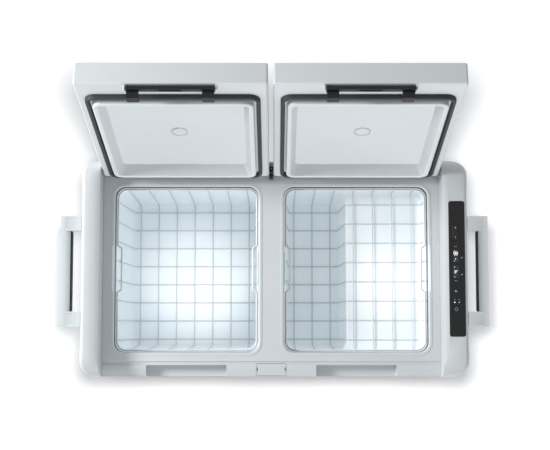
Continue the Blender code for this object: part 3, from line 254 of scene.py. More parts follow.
def banded(name, low, high, bands):
    """Multiplies a finish by a tint that changes with height, from (place, tint) pairs."""
    nodes, links = FINISHES[name].node_tree.nodes, FINISHES[name].node_tree.links
    shader = nodes["Principled BSDF"]
    split = nodes.new("ShaderNodeSeparateXYZ")
    links.new(object_place(nodes, links), split.inputs["Vector"])
    height = nodes.new("ShaderNodeMapRange")
    height.inputs["From Min"].default_value = low
    height.inputs["From Max"].default_value = high
    links.new(split.outputs["Z"], height.inputs["Value"])
    ramp = nodes.new("ShaderNodeValToRGB")
    ramp.color_ramp.interpolation = "CONSTANT"
    while len(ramp.color_ramp.elements) < len(bands):
        ramp.color_ramp.elements.new(0.5)
    for element, (z, shade) in zip(ramp.color_ramp.elements, bands):
        element.position = (z - low) / (high - low)
        element.color = (*shade, 1)
    links.new(height.outputs["Result"], ramp.inputs["Fac"])
    tint = nodes.new("ShaderNodeMix")
    tint.data_type = "RGBA"
    tint.blend_type = "MULTIPLY"
    tint.inputs["Factor"].default_value = 1.0
    links.new(shader.inputs["Base Color"].links[0].from_socket, tint.inputs[6])
    links.new(ramp.outputs["Color"], tint.inputs[7])
    links.new(tint.outputs[2], shader.inputs["Base Color"])
    return nodes, links, shader, tint.outputs[2], height.outputs["Result"]


def tub_finish(name, colour):
    """The liner's white, with a grey rim, a painted shadow as a dark band under the lip and a painted glow of its
    own.
    """
    moulded(name, colour, 0.34, grain=500, depth=0.00003, drift=0.015, subsurface=0.08)
    # Painted shadow: the near-black band from 24.5 mm to 4.2 mm below the deck stands for the shade in the gap
    # between the lip and the basket's top wire.
    bands = ((DECK - 0.0300, (1.0, 1.0, 1.0)), (DECK - 0.0245, (0.03, 0.03, 0.03)),
             (DECK - 0.0042, (0.95, 0.93, 0.92)), (DECK + 0.0006, (0.80, 0.78, 0.77)))
    nodes, links, shader, tint, height = banded(name, DECK - 0.030, DECK + 0.002, bands)
    # Painted light: the liner emits its own tinted colour, strongest low in the tub and fading to none at the rim.
    links.new(tint, shader.inputs["Emission Color"])
    links.new(between(nodes, links, height, INNER_PAINTED_GLOW, 0.0), shader.inputs["Emission Strength"])


def glossy(name, colour, roughness, streaks=0.0, coat=0.3):
    """A glossy panel or a lens, with faint haze where it has been wiped."""
    nodes, links, shader = new_finish(name)
    place = object_place(nodes, links, (1, 3, 1))
    haze = noise(nodes, links, place, 25.0, 5.0)
    links.new(ramp_colour(nodes, links, haze, colour, 0.06 + streaks), shader.inputs["Base Color"])
    links.new(between(nodes, links, haze, roughness, roughness + 0.10), shader.inputs["Roughness"])
    shader.inputs["Coat Weight"].default_value = coat
    shader.inputs["Coat Roughness"].default_value = 0.05


def metal(name, colour, roughness, stretch, scale=180.0):
    """A metal with its drawing or brushing lines."""
    nodes, links, shader = new_finish(name)
    lines = noise(nodes, links, object_place(nodes, links, stretch), scale, 4.0)
    links.new(ramp_colour(nodes, links, lines, colour, 0.10), shader.inputs["Base Color"])
    links.new(between(nodes, links, lines, roughness - 0.08, roughness + 0.12), shader.inputs["Roughness"])
    relief(nodes, links, shader, lines, 0.25, 0.00004)
    shader.inputs["Metallic"].default_value = 1.0


def cellular(name, colour, roughness, scale, depth):
    """Foam or rubber with a cell pattern under its skin."""
    nodes, links, shader = new_finish(name)
    place = object_place(nodes, links)
    cells = nodes.new("ShaderNodeTexVoronoi")
    cells.inputs["Scale"].default_value = scale
    links.new(place, cells.inputs["Vector"])
    links.new(ramp_colour(nodes, links, cells.outputs["Distance"], colour, 0.12), shader.inputs["Base Color"])
    shader.inputs["Roughness"].default_value = roughness
    relief(nodes, links, shader, cells.outputs["Distance"], 0.5, depth)


def circuit_board(name, colour):
    nodes, links, shader = new_finish(name)
    tracks = nodes.new("ShaderNodeTexBrick")
    tracks.inputs["Scale"].default_value = 160
    tracks.inputs["Mortar Size"].default_value = 0.03
    tracks.inputs["Color1"].default_value = (*colour, 1)
    tracks.inputs["Color2"].default_value = (*[part * 1.4 for part in colour], 1)
    tracks.inputs["Mortar"].default_value = (0.20, 0.30, 0.12, 1)
    links.new(object_place(nodes, links), tracks.inputs["Vector"])
    links.new(tracks.outputs["Color"], shader.inputs["Base Color"])
    shader.inputs["Roughness"].default_value = 0.4


def lit(name, colour, strength):
    """A lit mark or lamp, a little uneven like a light guide."""
    nodes, links, shader = new_finish(name)
    unevenness = noise(nodes, links, object_place(nodes, links), 400.0, 2.0)
    tint = ramp_colour(nodes, links, unevenness, colour, 0.06)
    links.new(tint, shader.inputs["Base Color"])
    links.new(tint, shader.inputs["Emission Color"])
    shader.inputs["Emission Strength"].default_value = strength
    shader.inputs["Roughness"].default_value = 0.4


def make_finishes():
    FINISHES.clear()
    colours = bpy.context.scene.cooler_colours
    moulded("shell_grey", tuple(colours.shell), 0.46)
    moulded("deck_grey", tuple(colours.deck), 0.50, grain=1100)
    tub_finish("liner_white", tuple(colours.liner))
    moulded("lid_liner_grey", tuple(colours.lid_inner), 0.48, grain=800)
    moulded("gasket_black", tuple(colours.seal), 0.62, grain=1500, drift=0.10)
    moulded("latch_black", tuple(colours.trim), 0.38, grain=1300, drift=0.12)
    moulded("pan_charcoal", (0.070, 0.075, 0.080), 0.60, grain=700, depth=0.00012, drift=0.08)
    moulded("button_black", (0.012, 0.012, 0.014), 0.36, grain=1600, drift=0.08)
    moulded("basket_wire", (0.84, 0.86, 0.88), 0.34, grain=350, depth=0.00008, drift=0.05, coat=0.2)
    # Painted shade: the wires below the top wire are tinted darker by height, as the tub shades them.
    level = DECK - BASKET_TOP
    banded("basket_wire", 0.0, level, ((0.0, (0.80, 0.80, 0.80)), (level - 0.0035, (1.0, 1.0, 1.0))))
    moulded("compressor_black", (0.020, 0.020, 0.020), 0.38, grain=260, depth=0.00015, drift=0.15, coat=0.2)
    cellular("rubber_black", (0.022, 0.022, 0.023), 0.80, 700, 0.00010)
    cellular("foam_cream", (0.80, 0.74, 0.55), 0.95, 320, 0.00040)
    glossy("panel_gloss", (0.008, 0.008, 0.009), 0.22, 0.0, 0.0)
    glossy("display_glass", (0.030, 0.031, 0.034), 0.14, 0.0, 0.1)
    glossy("lens_clear", (0.85, 0.95, 1.00), 0.15)
    metal("steel", (0.60, 0.60, 0.61), 0.34, (1, 40, 40))
    metal("aluminium", (0.75, 0.76, 0.78), 0.38, (30, 30, 1))
    metal("copper", (0.72, 0.36, 0.20), 0.32, (12, 1, 12), 90.0)
    circuit_board("board_green", (0.03, 0.16, 0.07))
    lit("panel_print", (0.72, 0.74, 0.76), 0.0)
    lit("display_lit", (0.95, 0.97, 1.00), 1.1)
    lit("lamp_green", (0.55, 1.00, 0.65), 2.5)


# ---------------------------------------------------------------- meshes

def linked(name, data):
    """A new object in the scene's own collection."""
    obj = bpy.data.objects.new(name, data)
    bpy.context.scene.collection.objects.link(obj)
    return obj


def object_from(name, bm):
    """A closed mesh whose faces point out, as a new object."""
    bmesh.ops.remove_doubles(bm, verts=bm.verts, dist=1e-6)
    bmesh.ops.dissolve_degenerate(bm, edges=bm.edges, dist=1e-7)
    bmesh.ops.recalc_face_normals(bm, faces=bm.faces)
    mesh = bpy.data.meshes.new(name)
    bm.to_mesh(mesh)
    bm.free()
    return linked(name, mesh)


def applied(obj):
    """Turns the object's modifiers into its mesh."""
    graph = bpy.context.evaluated_depsgraph_get()
    mesh = bpy.data.meshes.new_from_object(obj.evaluated_get(graph))
    old = obj.data
    obj.modifiers.clear()
    obj.data = mesh
    mesh.name = obj.name
    bpy.data.meshes.remove(old)
    return obj


def boolean(obj, other, operation):
    modifier = obj.modifiers.new("boolean", "BOOLEAN")
    modifier.operation = operation
    modifier.object = other
    applied(obj)
    bpy.data.objects.remove(other)
    return obj


def carve(obj, *others):
    for other in others:
        boolean(obj, other, "DIFFERENCE")
    return obj


def fuse(obj, *others):
    for other in others:
        boolean(obj, other, "UNION")
    return obj


def smooth(obj, angle=32):
    obj.data.shade_smooth()
    obj.data.set_sharp_from_angle(angle=math.radians(angle))
    return obj


def rounded(obj, width, segments=3, angle=34):
    """Rounds an object's edges and evens out its shading."""
    bevel = obj.modifiers.new("round", "BEVEL")
    bevel.width = width
    bevel.segments = segments
    bevel.limit_method = "ANGLE"
    bevel.angle_limit = math.radians(angle)
    bevel.miter_outer = "MITER_ARC"
    applied(obj)
    bm = bmesh.new()
    bm.from_mesh(obj.data)
    bmesh.ops.remove_doubles(bm, verts=bm.verts, dist=1e-6)
    bmesh.ops.dissolve_degenerate(bm, edges=bm.edges, dist=1e-7)
    bm.to_mesh(obj.data)
    bm.free()
    smooth(obj, 40)
    weighted = obj.modifiers.new("even", "WEIGHTED_NORMAL")
    weighted.keep_sharp = True
    return applied(obj)


def softened(name, node, width, segments=3):
    """A copy of a frame node with its edges rounded."""
    bm = bmesh.new()
    bm.from_mesh(frame["nodes"][node].data)
    bmesh.ops.remove_doubles(bm, verts=bm.verts, dist=2e-6)
    bmesh.ops.dissolve_limit(bm, angle_limit=math.radians(1.5), verts=bm.verts, edges=bm.edges)
    return rounded(object_from(name, bm), width, segments)


def block(name, x, y, z):
    """A box between pairs of values, for cuts and joins."""
    bm = bmesh.new()
    bmesh.ops.create_cube(bm, size=1.0)
    sizes = Vector((abs(x[1] - x[0]), abs(y[1] - y[0]), abs(z[1] - z[0])))
    bmesh.ops.scale(bm, vec=sizes, verts=bm.verts)
    bmesh.ops.translate(bm, vec=((x[0] + x[1]) / 2, (y[0] + y[1]) / 2, (z[0] + z[1]) / 2), verts=bm.verts)
    return object_from(name, bm)


TURN_TO = {
    "Z": Matrix.Identity(4),
    "X": Matrix.Rotation(math.radians(90), 4, "Y"),
    "Y": Matrix.Rotation(math.radians(-90), 4, "X"),
}


def rod(name, centre, radius, length, axis="Z", sides=24):
    bm = bmesh.new()
    bmesh.ops.create_cone(bm, cap_ends=True, segments=sides, radius1=radius, radius2=radius, depth=length)
    bmesh.ops.transform(bm, matrix=Matrix.Translation(centre) @ TURN_TO[axis], verts=bm.verts)
    return object_from(name, bm)


def arc(centre, radius, start, end, steps=CORNER_STEPS):
    points = []
    for step in range(steps + 1):
        angle = math.radians(start + (end - start) * step / steps)
        points.append((centre[0] + radius * math.cos(angle), centre[1] + radius * math.sin(angle)))
    return points


def quarter(steps):
    """The angles of a quarter turn, in radians."""
    return [math.radians(90 * step / steps) for step in range(steps + 1)]


def circle(x, y, radius, z, steps):
    turns = [2 * math.pi * step / steps for step in range(steps)]
    return [(x + radius * math.cos(turn), y + radius * math.sin(turn), z) for turn in turns]


AXIS_PLACES = {
    "Z": lambda u, v, w: (u, v, w),
    "X": lambda u, v, w: (w, u, v),
    "Y": lambda u, v, w: (u, w, v),
}


def loft(name, loops, closed=False):
    """Joins rings of equally many points in order, and caps the first and the last."""
    bm = bmesh.new()
    rows = [[bm.verts.new(point) for point in loop] for loop in loops]
    pairs = list(zip(rows, rows[1:]))
    if closed:
        pairs.append((rows[-1], rows[0]))
    count = len(rows[0])
    for lower, upper in pairs:
        for index in range(count):
            after = (index + 1) % count
            bm.faces.new((lower[index], lower[after], upper[after], upper[index]))
    if not closed:
        bm.faces.new(rows[0])
        bm.faces.new(rows[-1])
    return object_from(name, bm)


def extruded(name, outline, low, high, axis="Z"):
    """An outline pushed along an axis: (X, Y) for Z, (Y, Z) for X and (X, Z) for Y."""
    place = AXIS_PLACES[axis]
    return loft(name, [[place(u, v, w) for u, v in outline] for w in (low, high)])


def shrink(rect, amount):
    x0, x1, y0, y1 = rect
    return x0 + amount, x1 - amount, y0 + amount, y1 - amount


def plan_ring(rect, radius, jog=STRAIGHT, steps=CORNER_STEPS):
    """A rounded rectangle whose left and right sides may step outwards by jog near the middle."""
    x0, x1, y0, y1 = rect
    radius = max(radius, LEAST_RADIUS)
    stops = (-JOG_HALF - JOG_EASE, -JOG_HALF, JOG_HALF, JOG_HALF + JOG_EASE)
    points = arc((x1 - radius, y0 + radius), radius, -90, 0, steps)
    points += [(x1 + shift, stop) for stop, shift in zip(stops, (0.0, jog[1], jog[1], 0.0))]
    points += arc((x1 - radius, y1 - radius), radius, 0, 90, steps)
    points += arc((x0 + radius, y1 - radius), radius, 90, 180, steps)
    points += [(x0 - shift, stop) for stop, shift in zip(stops[::-1], (0.0, jog[0], jog[0], 0.0))]
    points += arc((x0 + radius, y0 + radius), radius, 180, 270, steps)
    return points


def flat_ring(rect, radius, steps=CORNER_STEPS):
    """A rectangle with round corners, as pairs."""
    x0, x1, y0, y1 = rect
    radius = max(radius, LEAST_RADIUS)
    points = arc((x1 - radius, y0 + radius), radius, -90, 0, steps)
    points += arc((x1 - radius, y1 - radius), radius, 0, 90, steps)
    points += arc((x0 + radius, y1 - radius), radius, 90, 180, steps)
    return points + arc((x0 + radius, y0 + radius), radius, 180, 270, steps)


def ring(rect, radius, z, steps=CORNER_STEPS):
    return [(x, y, z) for x, y in flat_ring(rect, radius, steps)]


def rounded_block(name, rect, low, high, radius, edge, steps=4):
    """A block with round corners in plan and round upper and lower edges."""
    round_edge = [(edge * (1 - math.sin(angle)), edge * (1 - math.cos(angle))) for angle in quarter(steps)]
    loops = [ring(shrink(rect, inset), radius - inset, low + rise) for inset, rise in round_edge]
    loops += [ring(shrink(rect, inset), radius - inset, high - rise) for inset, rise in round_edge[::-1]]
    return loft(name, loops)


def merged(name, *objects):
    """Several closed bodies as one object."""
    bm = bmesh.new()
    for obj in objects:
        bm.from_mesh(obj.data)
        bpy.data.objects.remove(obj)
    mesh = bpy.data.meshes.new(name)
    bm.to_mesh(mesh)
    bm.free()
    return linked(name, mesh)


def settle(obj, slot, body, *nodes, finish=None):
    """Gives a finished piece its material, its body and the nodes that it stands for."""
    obj.data.materials.clear()
    obj.data.materials.append(FINISHES[finish or slot])
    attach(obj, body)
    if nodes:
        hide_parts(*nodes)
    return obj


# ---------------------------------------------------------------- node trees

def new_tree(name, inputs):
    """A geometry tree with named inputs, each (label, socket type, default)."""
    tree = bpy.data.node_groups.new(name, "GeometryNodeTree")
    tree.interface.new_socket("Geometry", in_out="INPUT", socket_type="NodeSocketGeometry")
    for label, kind, default in inputs:
        socket = tree.interface.new_socket(label, in_out="INPUT", socket_type="NodeSocket" + kind)
        if default is not None:
            socket.default_value = default
    tree.interface.new_socket("Geometry", in_out="OUTPUT", socket_type="NodeSocketGeometry")
    return tree, tree.nodes.new("NodeGroupInput"), tree.nodes.new("NodeGroupOutput")


def finish_tree(tree, source, sink, geometry):
    """Ends a tree in real geometry with its smooth shading and its finish."""
    real = tree.nodes.new("GeometryNodeRealizeInstances")
    shade = tree.nodes.new("GeometryNodeSetShadeSmooth")
    finish = tree.nodes.new("GeometryNodeSetMaterial")
    tree.links.new(geometry, real.inputs["Geometry"])
    tree.links.new(real.outputs["Geometry"], shade.inputs["Geometry"])
    tree.links.new(shade.outputs["Geometry"], finish.inputs["Geometry"])
    tree.links.new(source.outputs["Finish"], finish.inputs["Material"])
    tree.links.new(finish.outputs["Geometry"], sink.inputs["Geometry"])
    return tree


def wire_row_tree():
    """Bends a line into a round wire with filleted corners, and repeats it in a row."""
    tree, source, sink = new_tree("wire_row", [
        ("Wire Radius", "Float", 0.0015), ("Sides", "Int", 8), ("Bend Radius", "Float", 0.010),
        ("Bend Steps", "Int", 6), ("Count", "Int", 1), ("Spacing", "Vector", (0.0, 0.0, 0.0)),
        ("Finish", "Material", None),
    ])
    nodes, links = tree.nodes, tree.links
    line = nodes.new("GeometryNodeMeshToCurve")
    links.new(source.outputs["Geometry"], line.inputs["Mesh"])
    bend = nodes.new("GeometryNodeFilletCurve")
    bend.mode = "POLY"
    links.new(line.outputs["Curve"], bend.inputs["Curve"])
    links.new(source.outputs["Bend Radius"], bend.inputs["Radius"])
    links.new(source.outputs["Bend Steps"], bend.inputs["Count"])
    section = nodes.new("GeometryNodeCurvePrimitiveCircle")
    links.new(source.outputs["Sides"], section.inputs["Resolution"])
    links.new(source.outputs["Wire Radius"], section.inputs["Radius"])
    wire = nodes.new("GeometryNodeCurveToMesh")
    wire.inputs["Fill Caps"].default_value = True
    links.new(bend.outputs["Curve"], wire.inputs["Curve"])
    links.new(section.outputs["Curve"], wire.inputs["Profile Curve"])
    places = nodes.new("GeometryNodeMeshLine")
    links.new(source.outputs["Count"], places.inputs["Count"])
    links.new(source.outputs["Spacing"], places.inputs["Offset"])
    copies = nodes.new("GeometryNodeInstanceOnPoints")
    links.new(places.outputs["Mesh"], copies.inputs["Points"])
    links.new(wire.outputs["Mesh"], copies.inputs["Instance"])
    return finish_tree(tree, source, sink, copies.outputs["Instances"])


def screw_tree():
    """Sets a cross-recessed screw head, turned by an angle, on each point."""
    tree, source, sink = new_tree("screw_heads", [
        ("Head Radius", "Float", 0.003), ("Head Height", "Float", 0.0012),
        ("Turn", "Vector", (0.0, 0.0, 0.0)), ("Finish", "Material", None),
    ])
    nodes, links = tree.nodes, tree.links
    head = nodes.new("GeometryNodeMeshCylinder")
    head.inputs["Vertices"].default_value = 20
    links.new(source.outputs["Head Radius"], head.inputs["Radius"])
    links.new(source.outputs["Head Height"], head.inputs["Depth"])
    recess = head.outputs["Mesh"]
    for long_way in (0, 1):
        size = nodes.new("ShaderNodeVectorMath")
        size.operation = "MULTIPLY"
        size.inputs[1].default_value = ((1.25, 0.30, 0.9), (0.30, 1.25, 0.9))[long_way]
        cube = nodes.new("GeometryNodeMeshCube")
        links.new(source.outputs["Head Radius"], size.inputs[0])
        links.new(size.outputs["Vector"], cube.inputs["Size"])
        lift = nodes.new("GeometryNodeTransform")
        offset = nodes.new("ShaderNodeCombineXYZ")
        links.new(source.outputs["Head Height"], offset.inputs["Z"])
        links.new(offset.outputs["Vector"], lift.inputs["Translation"])
        links.new(cube.outputs["Mesh"], lift.inputs["Geometry"])
        cross = nodes.new("GeometryNodeMeshBoolean")
        cross.operation = "DIFFERENCE"
        links.new(recess, cross.inputs["Mesh 1"])
        links.new(lift.outputs["Geometry"], cross.inputs["Mesh 2"])
        recess = cross.outputs["Mesh"]
    copies = nodes.new("GeometryNodeInstanceOnPoints")
    links.new(source.outputs["Geometry"], copies.inputs["Points"])
    links.new(recess, copies.inputs["Instance"])
    links.new(source.outputs["Turn"], copies.inputs["Rotation"])
    return finish_tree(tree, source, sink, copies.outputs["Instances"])


TREES = {}


def tree_named(name):
    if name not in TREES:
        TREES[name] = {"wire_row": wire_row_tree, "screw_heads": screw_tree}[name]()
    return TREES[name]


def grown(name, tree_name, points, joined, finish, **values):
    """Runs a tree on points, joined into a line or a closed loop or left loose."""
    edges = []
    if joined:
        edges = [(index, index + 1) for index in range(len(points) - 1)]
    if joined == "loop":
        edges.append((len(points) - 1, 0))
    mesh = bpy.data.meshes.new(name)
    mesh.from_pydata([tuple(point) for point in points], edges, [])
    obj = linked(name, mesh)
    tree = tree_named(tree_name)
    modifier = obj.modifiers.new(tree_name, "NODES")
    modifier.node_group = tree
    values["Finish"] = FINISHES[finish]
    for item in tree.interface.items_tree:
        key = item.name.replace(" ", "_")
        if item.in_out == "INPUT" and key in values:
            modifier[item.identifier] = values[key]
    return applied(obj)


def wire(name, points, radius, bend=0.010, joined="line", count=1, spacing=(0.0, 0.0, 0.0), sides=8,
         finish="basket_wire"):
    return grown(name, "wire_row", points, joined, finish, Wire_Radius=radius, Bend_Radius=bend,
                 Count=count, Spacing=spacing, Sides=sides)


def screws(name, points, radius=0.003, height=0.0014, turn=(0.0, 0.0, 0.0), finish="latch_black"):
    return grown(name, "screw_heads", points, None, finish, Head_Radius=radius, Head_Height=height, Turn=turn)


# ---------------------------------------------------------------- rails

def rail_section(side, inner, y, inset, chamfer, edge):
    """The rail's outline in X and Z at a place along Y, which shrinks towards both ends."""
    front_way = min(y - FRONT, BACK - y)
    roll = RAIL_ROLL - inset
    reach = max(min(front_way - inset, roll), 0.0)
    top = RAIL_TOP - inset - roll + math.sqrt(max(roll**2 - (roll - reach) ** 2, 0.0))
    corner = CORNER_RADIUS - inset
    reach = max(min(front_way - inset, corner), 0.0)
    outer = HALF_WIDTH - inset - corner + math.sqrt(max(corner**2 - (corner - reach) ** 2, 0.0))
    width = outer - abs(inner)
    edge = min(edge, 0.45 * width)
    ease = min(max((front_way - 0.020) / 0.030, 0.0), 1.0)
    slope = max(chamfer * ease * ease * (3 - 2 * ease), 0.0002)
    low = CAP_LOW - (0.02 if inset else 0.0)
    outline = [(abs(inner), low), (abs(inner), top - 0.55 * slope), (abs(inner) + slope, top - 0.0001)]
    outline += arc((outer - edge, top - edge), edge, 90, 0)
    outline.append((outer, low))
    return [(side * x, y, z) for x, z in outline]


def rail_body(name, side, inner, inset=0.0, chamfer=0.0, edge=0.0004):
    places = [inset + (RAIL_ROLL + 0.004) * (1 - math.cos(angle)) for angle in quarter(18)]
    stations = [FRONT + place for place in places] + [BACK - place for place in places[::-1]]
    return loft(name, [rail_section(side, inner, y, inset, chamfer, edge) for y in stations])


def rail_lugs(side):
    """Lugs and stub pins for the handle's two arms."""
    pivot = JOINTS[f"handle_{'left' if side < 0 else 'right'}_pivot"]["pos_m"]
    box = node_box("handle_left" if side < 0 else "handle_right")
    arm, flange = 0.035, 0.004
    lugs = []
    for index, y in enumerate((box[2] + arm / 2, box[3] - arm / 2)):
        reach = arm / 2 - flange - 0.0012
        root = HALF_WIDTH - 0.0035
        outline = [(root, pivot[2] - 0.006), (abs(pivot[0]), pivot[2] - 0.006)]
        outline += arc((abs(pivot[0]), pivot[2]), 0.006, -80, 80)
        outline += [(abs(pivot[0]), pivot[2] + 0.006), (root, pivot[2] + 0.006)]
        outline = [(side * x, z) for x, z in outline]
        lugs.append(extruded(f"lug_{index}", outline, y - reach, y + reach, "Y"))
        lugs.append(rod(f"stub_{index}", (pivot[0], y, pivot[2]), 0.0035, arm - 0.001, "Y"))
    return lugs


def make_rail(name, side, inner):
    sizes = bpy.context.scene.cooler_sizes
    wall = 0.004
    cap = rail_body(name, side, inner, 0.0, sizes.rail_chamfer, sizes.rail_round)
    hollow = rail_body("hollow", side, inner + side * wall, wall, sizes.rail_chamfer, sizes.rail_round)
    carve(cap, hollow)
    carve(cap, block("open_side", (inner - side * 0.01, inner + side * 0.006),
                     (FRONT + wall, BACK - wall), (CAP_LOW - 0.01, SKIRT_BOTTOM)))
    skin = side * (HALF_WIDTH - 0.002)
    field = (FRONT + 0.064, BACK - 0.064, -0.05, RAIL_TOP + 0.2)
    recess = rounded_block("recess", field, 0, 0.02, 0.014, 0.0015)
    place = Matrix(((0, 0, side, skin), (1, 0, 0, 0), (0, 1, 0, 0), (0, 0, 0, 1)))
    recess.data.transform(place)
    bm = bmesh.new()
    bm.from_mesh(recess.data)
    bmesh.ops.recalc_face_normals(bm, faces=bm.faces)
    bm.to_mesh(recess.data)
    bm.free()
    carve(cap, recess)
    fuse(cap, *rail_lugs(side))
    return cap


def panel_window():
    x0, x1, y0, y1, _, _ = FASCIA_BOX
    gap = 0.0004
    rect = (x0 - gap, x1 + gap, y0 - gap, y1 + gap)
    return loft("panel_window", [ring(rect, 0.0054, z) for z in (RAIL_TOP - 0.02, RAIL_TOP + 0.01)])


def side_window(node, gap=0.0004):
    x0, x1, y0, y1, z0, z1 = node_box(node)
    return block("side_window", (x1 - 0.02, x1 + 0.02), (y0 - gap, y1 + gap), (z0 - gap, z1 + gap))


def make_rails():
    left = make_rail("left_rail_shell", -1, LEFT_RAIL)
    settle(smooth(left), "shell_grey", "cabinet", "left_end_cap")
    right = make_rail("right_rail_shell", 1, RIGHT_RAIL)
    carve(right, panel_window(), side_window("air_grille"), side_window("power_inlets"))
    settle(smooth(right), "shell_grey", "cabinet", "right_end_cap")


# ---------------------------------------------------------------- deck

def deck_outline():
    """The deck's section in Y and Z: flat, then a step, a curved front band and a small lip."""
    front_beam, wall = 0.038, 0.004
    outline = [(BACK, DECK)]
    outline += [(FRONT + y, DECK + z) for y, z in arc((0.0363, -0.0013), 0.0013, 90, 170, 4)]
    outline += [(FRONT + 0.0345, DECK - 0.0033), (FRONT + 0.0272, DECK - 0.0033)]
    outline += [(FRONT + y, DECK + z) for y, z in arc((0.0262, -0.0027), 0.0010, 0, 95, 4)]
    for step in range(1, 11):
        share = step / 10
        outline.append((FRONT + 0.0250 - 0.0232 * share, DECK - 0.0018 - 0.0085 * share**1.8))
    outline += [(FRONT + 0.0012, DECK - 0.0100), (FRONT + 0.0003, DECK - 0.0104), (FRONT, DECK - 0.0114)]
    outline += [(FRONT, SKIRT_BOTTOM), (FRONT + front_beam, SKIRT_BOTTOM), (FRONT + front_beam, DECK - wall)]
    outline += [(BACK - wall, DECK - wall), (BACK - wall, SKIRT_BOTTOM), (BACK, SKIRT_BOTTOM)]
    return outline


def mouth(side):
    x0, x1, y0, y1, _, _ = node_box(f"liner_{side}")
    return shrink((x0, x1, y0, y1), LINER_WALL)


def make_deck():
    left, right = DECK_BOX[0], DECK_BOX[1]
    deck = extruded("deck_frame", deck_outline(), left, right, "X")
    cover_box = node_box("centre_cover")
    rect = cover_box[:4]
    blank = extruded("centre_cover_plate", deck_outline(), left, right, "X")
    plan = loft("cover_plan", [ring(rect, 0.0035, z) for z in (DECK - 0.014, DECK + 0.01)])
    cover = boolean(blank, plan, "INTERSECT")
    pocket = shrink(rect, -0.0007)
    carve(deck, loft("cover_pocket", [ring(pocket, 0.0042, z) for z in (DECK - 0.0146, DECK + 0.01)]))
    middle = (rect[2] + rect[3]) / 2 + 0.001
    # Painted shade: black blocks low in the cover's two slots darken the slots as shade would.
    painted_shade_blocks = []
    for x in (rect[0] + 0.0020, rect[1] - 0.0020):
        carve(cover, block("slot", (x - 0.0009, x + 0.0009), (middle - 0.0042, middle + 0.0042),
                           (DECK - 0.0090, DECK + 0.01)))
        painted_shade_blocks.append(block("clip", (x - 0.0008, x + 0.0008), (middle - 0.0041, middle + 0.0041),
                           (DECK - 0.0090, DECK - 0.0050)))
    settle(merged("cover_clips", *painted_shade_blocks), "latch_black", "cabinet")
    for side in ("left", "right"):
        jog = (0.0037, 0.0) if side == "left" else (0.0, 0.0037)
        outline = plan_ring(shrink(mouth(side), -0.0029), MOUTH_RADIUS + 0.0029, jog)
        hole = [[(x, y, z) for x, y in outline] for z in (SKIRT_BOTTOM - 0.01, DECK + 0.01)]
        carve(deck, loft("deck_hole", hole))
        notch = OPENINGS[f"latch_notch_{side}"]
        x0, x1 = notch[0][0] - 0.006, notch[1][0] + 0.006
        rear = notch[1][1] + 0.004
        floor = notch[0][2] - 0.004
        scoop = rounded_block("notch", (x0, x1, FRONT - 0.02, rear), floor, DECK + 0.02, 0.0030, 0.0012)
        carve(deck, scoop)
        hooks = node_box(f"latch_{side}_lever")
        for x in (hooks[0] + 0.0140, hooks[1] - 0.0140):
            carve(deck, block("strike", (x - 0.0145, x + 0.0145), (rear - 0.002, rear + 0.0062),
                              (floor + 0.0124, floor + 0.0224)))
    settle(rounded(deck, 0.0005, 2, 50), "deck_grey", "cabinet", "top_deck")
    settle(smooth(cover, 30), "deck_grey", "cabinet", "centre_cover")


# ---------------------------------------------------------------- liners

def tub_rect(opening, z, grow=0.0):
    return shrink(opening, WALL_SLOPE * (DECK - z) - grow)


def tub_loops(opening, floor, fillet, grow, top_loops):
    """Rings of a tub from its floor up: a round floor edge, a sloping wall and the top."""
    loops = []
    for angle in quarter(6):
        inset = fillet * (1 - math.sin(angle))
        z = floor + fillet * (1 - math.cos(angle))
        loops.append((tub_rect(opening, z, grow - inset), MOUTH_RADIUS + grow - inset, z, STRAIGHT))
    return loops + top_loops


def jogged_loft(name, loops):
    """A loft of plan rings, from (rectangle, radius, z, jog) rows."""
    rings = []
    for rect, radius, z, jog in loops:
        rings.append([(x, y, z) for x, y in plan_ring(rect, radius, jog)])
    return loft(name, rings)


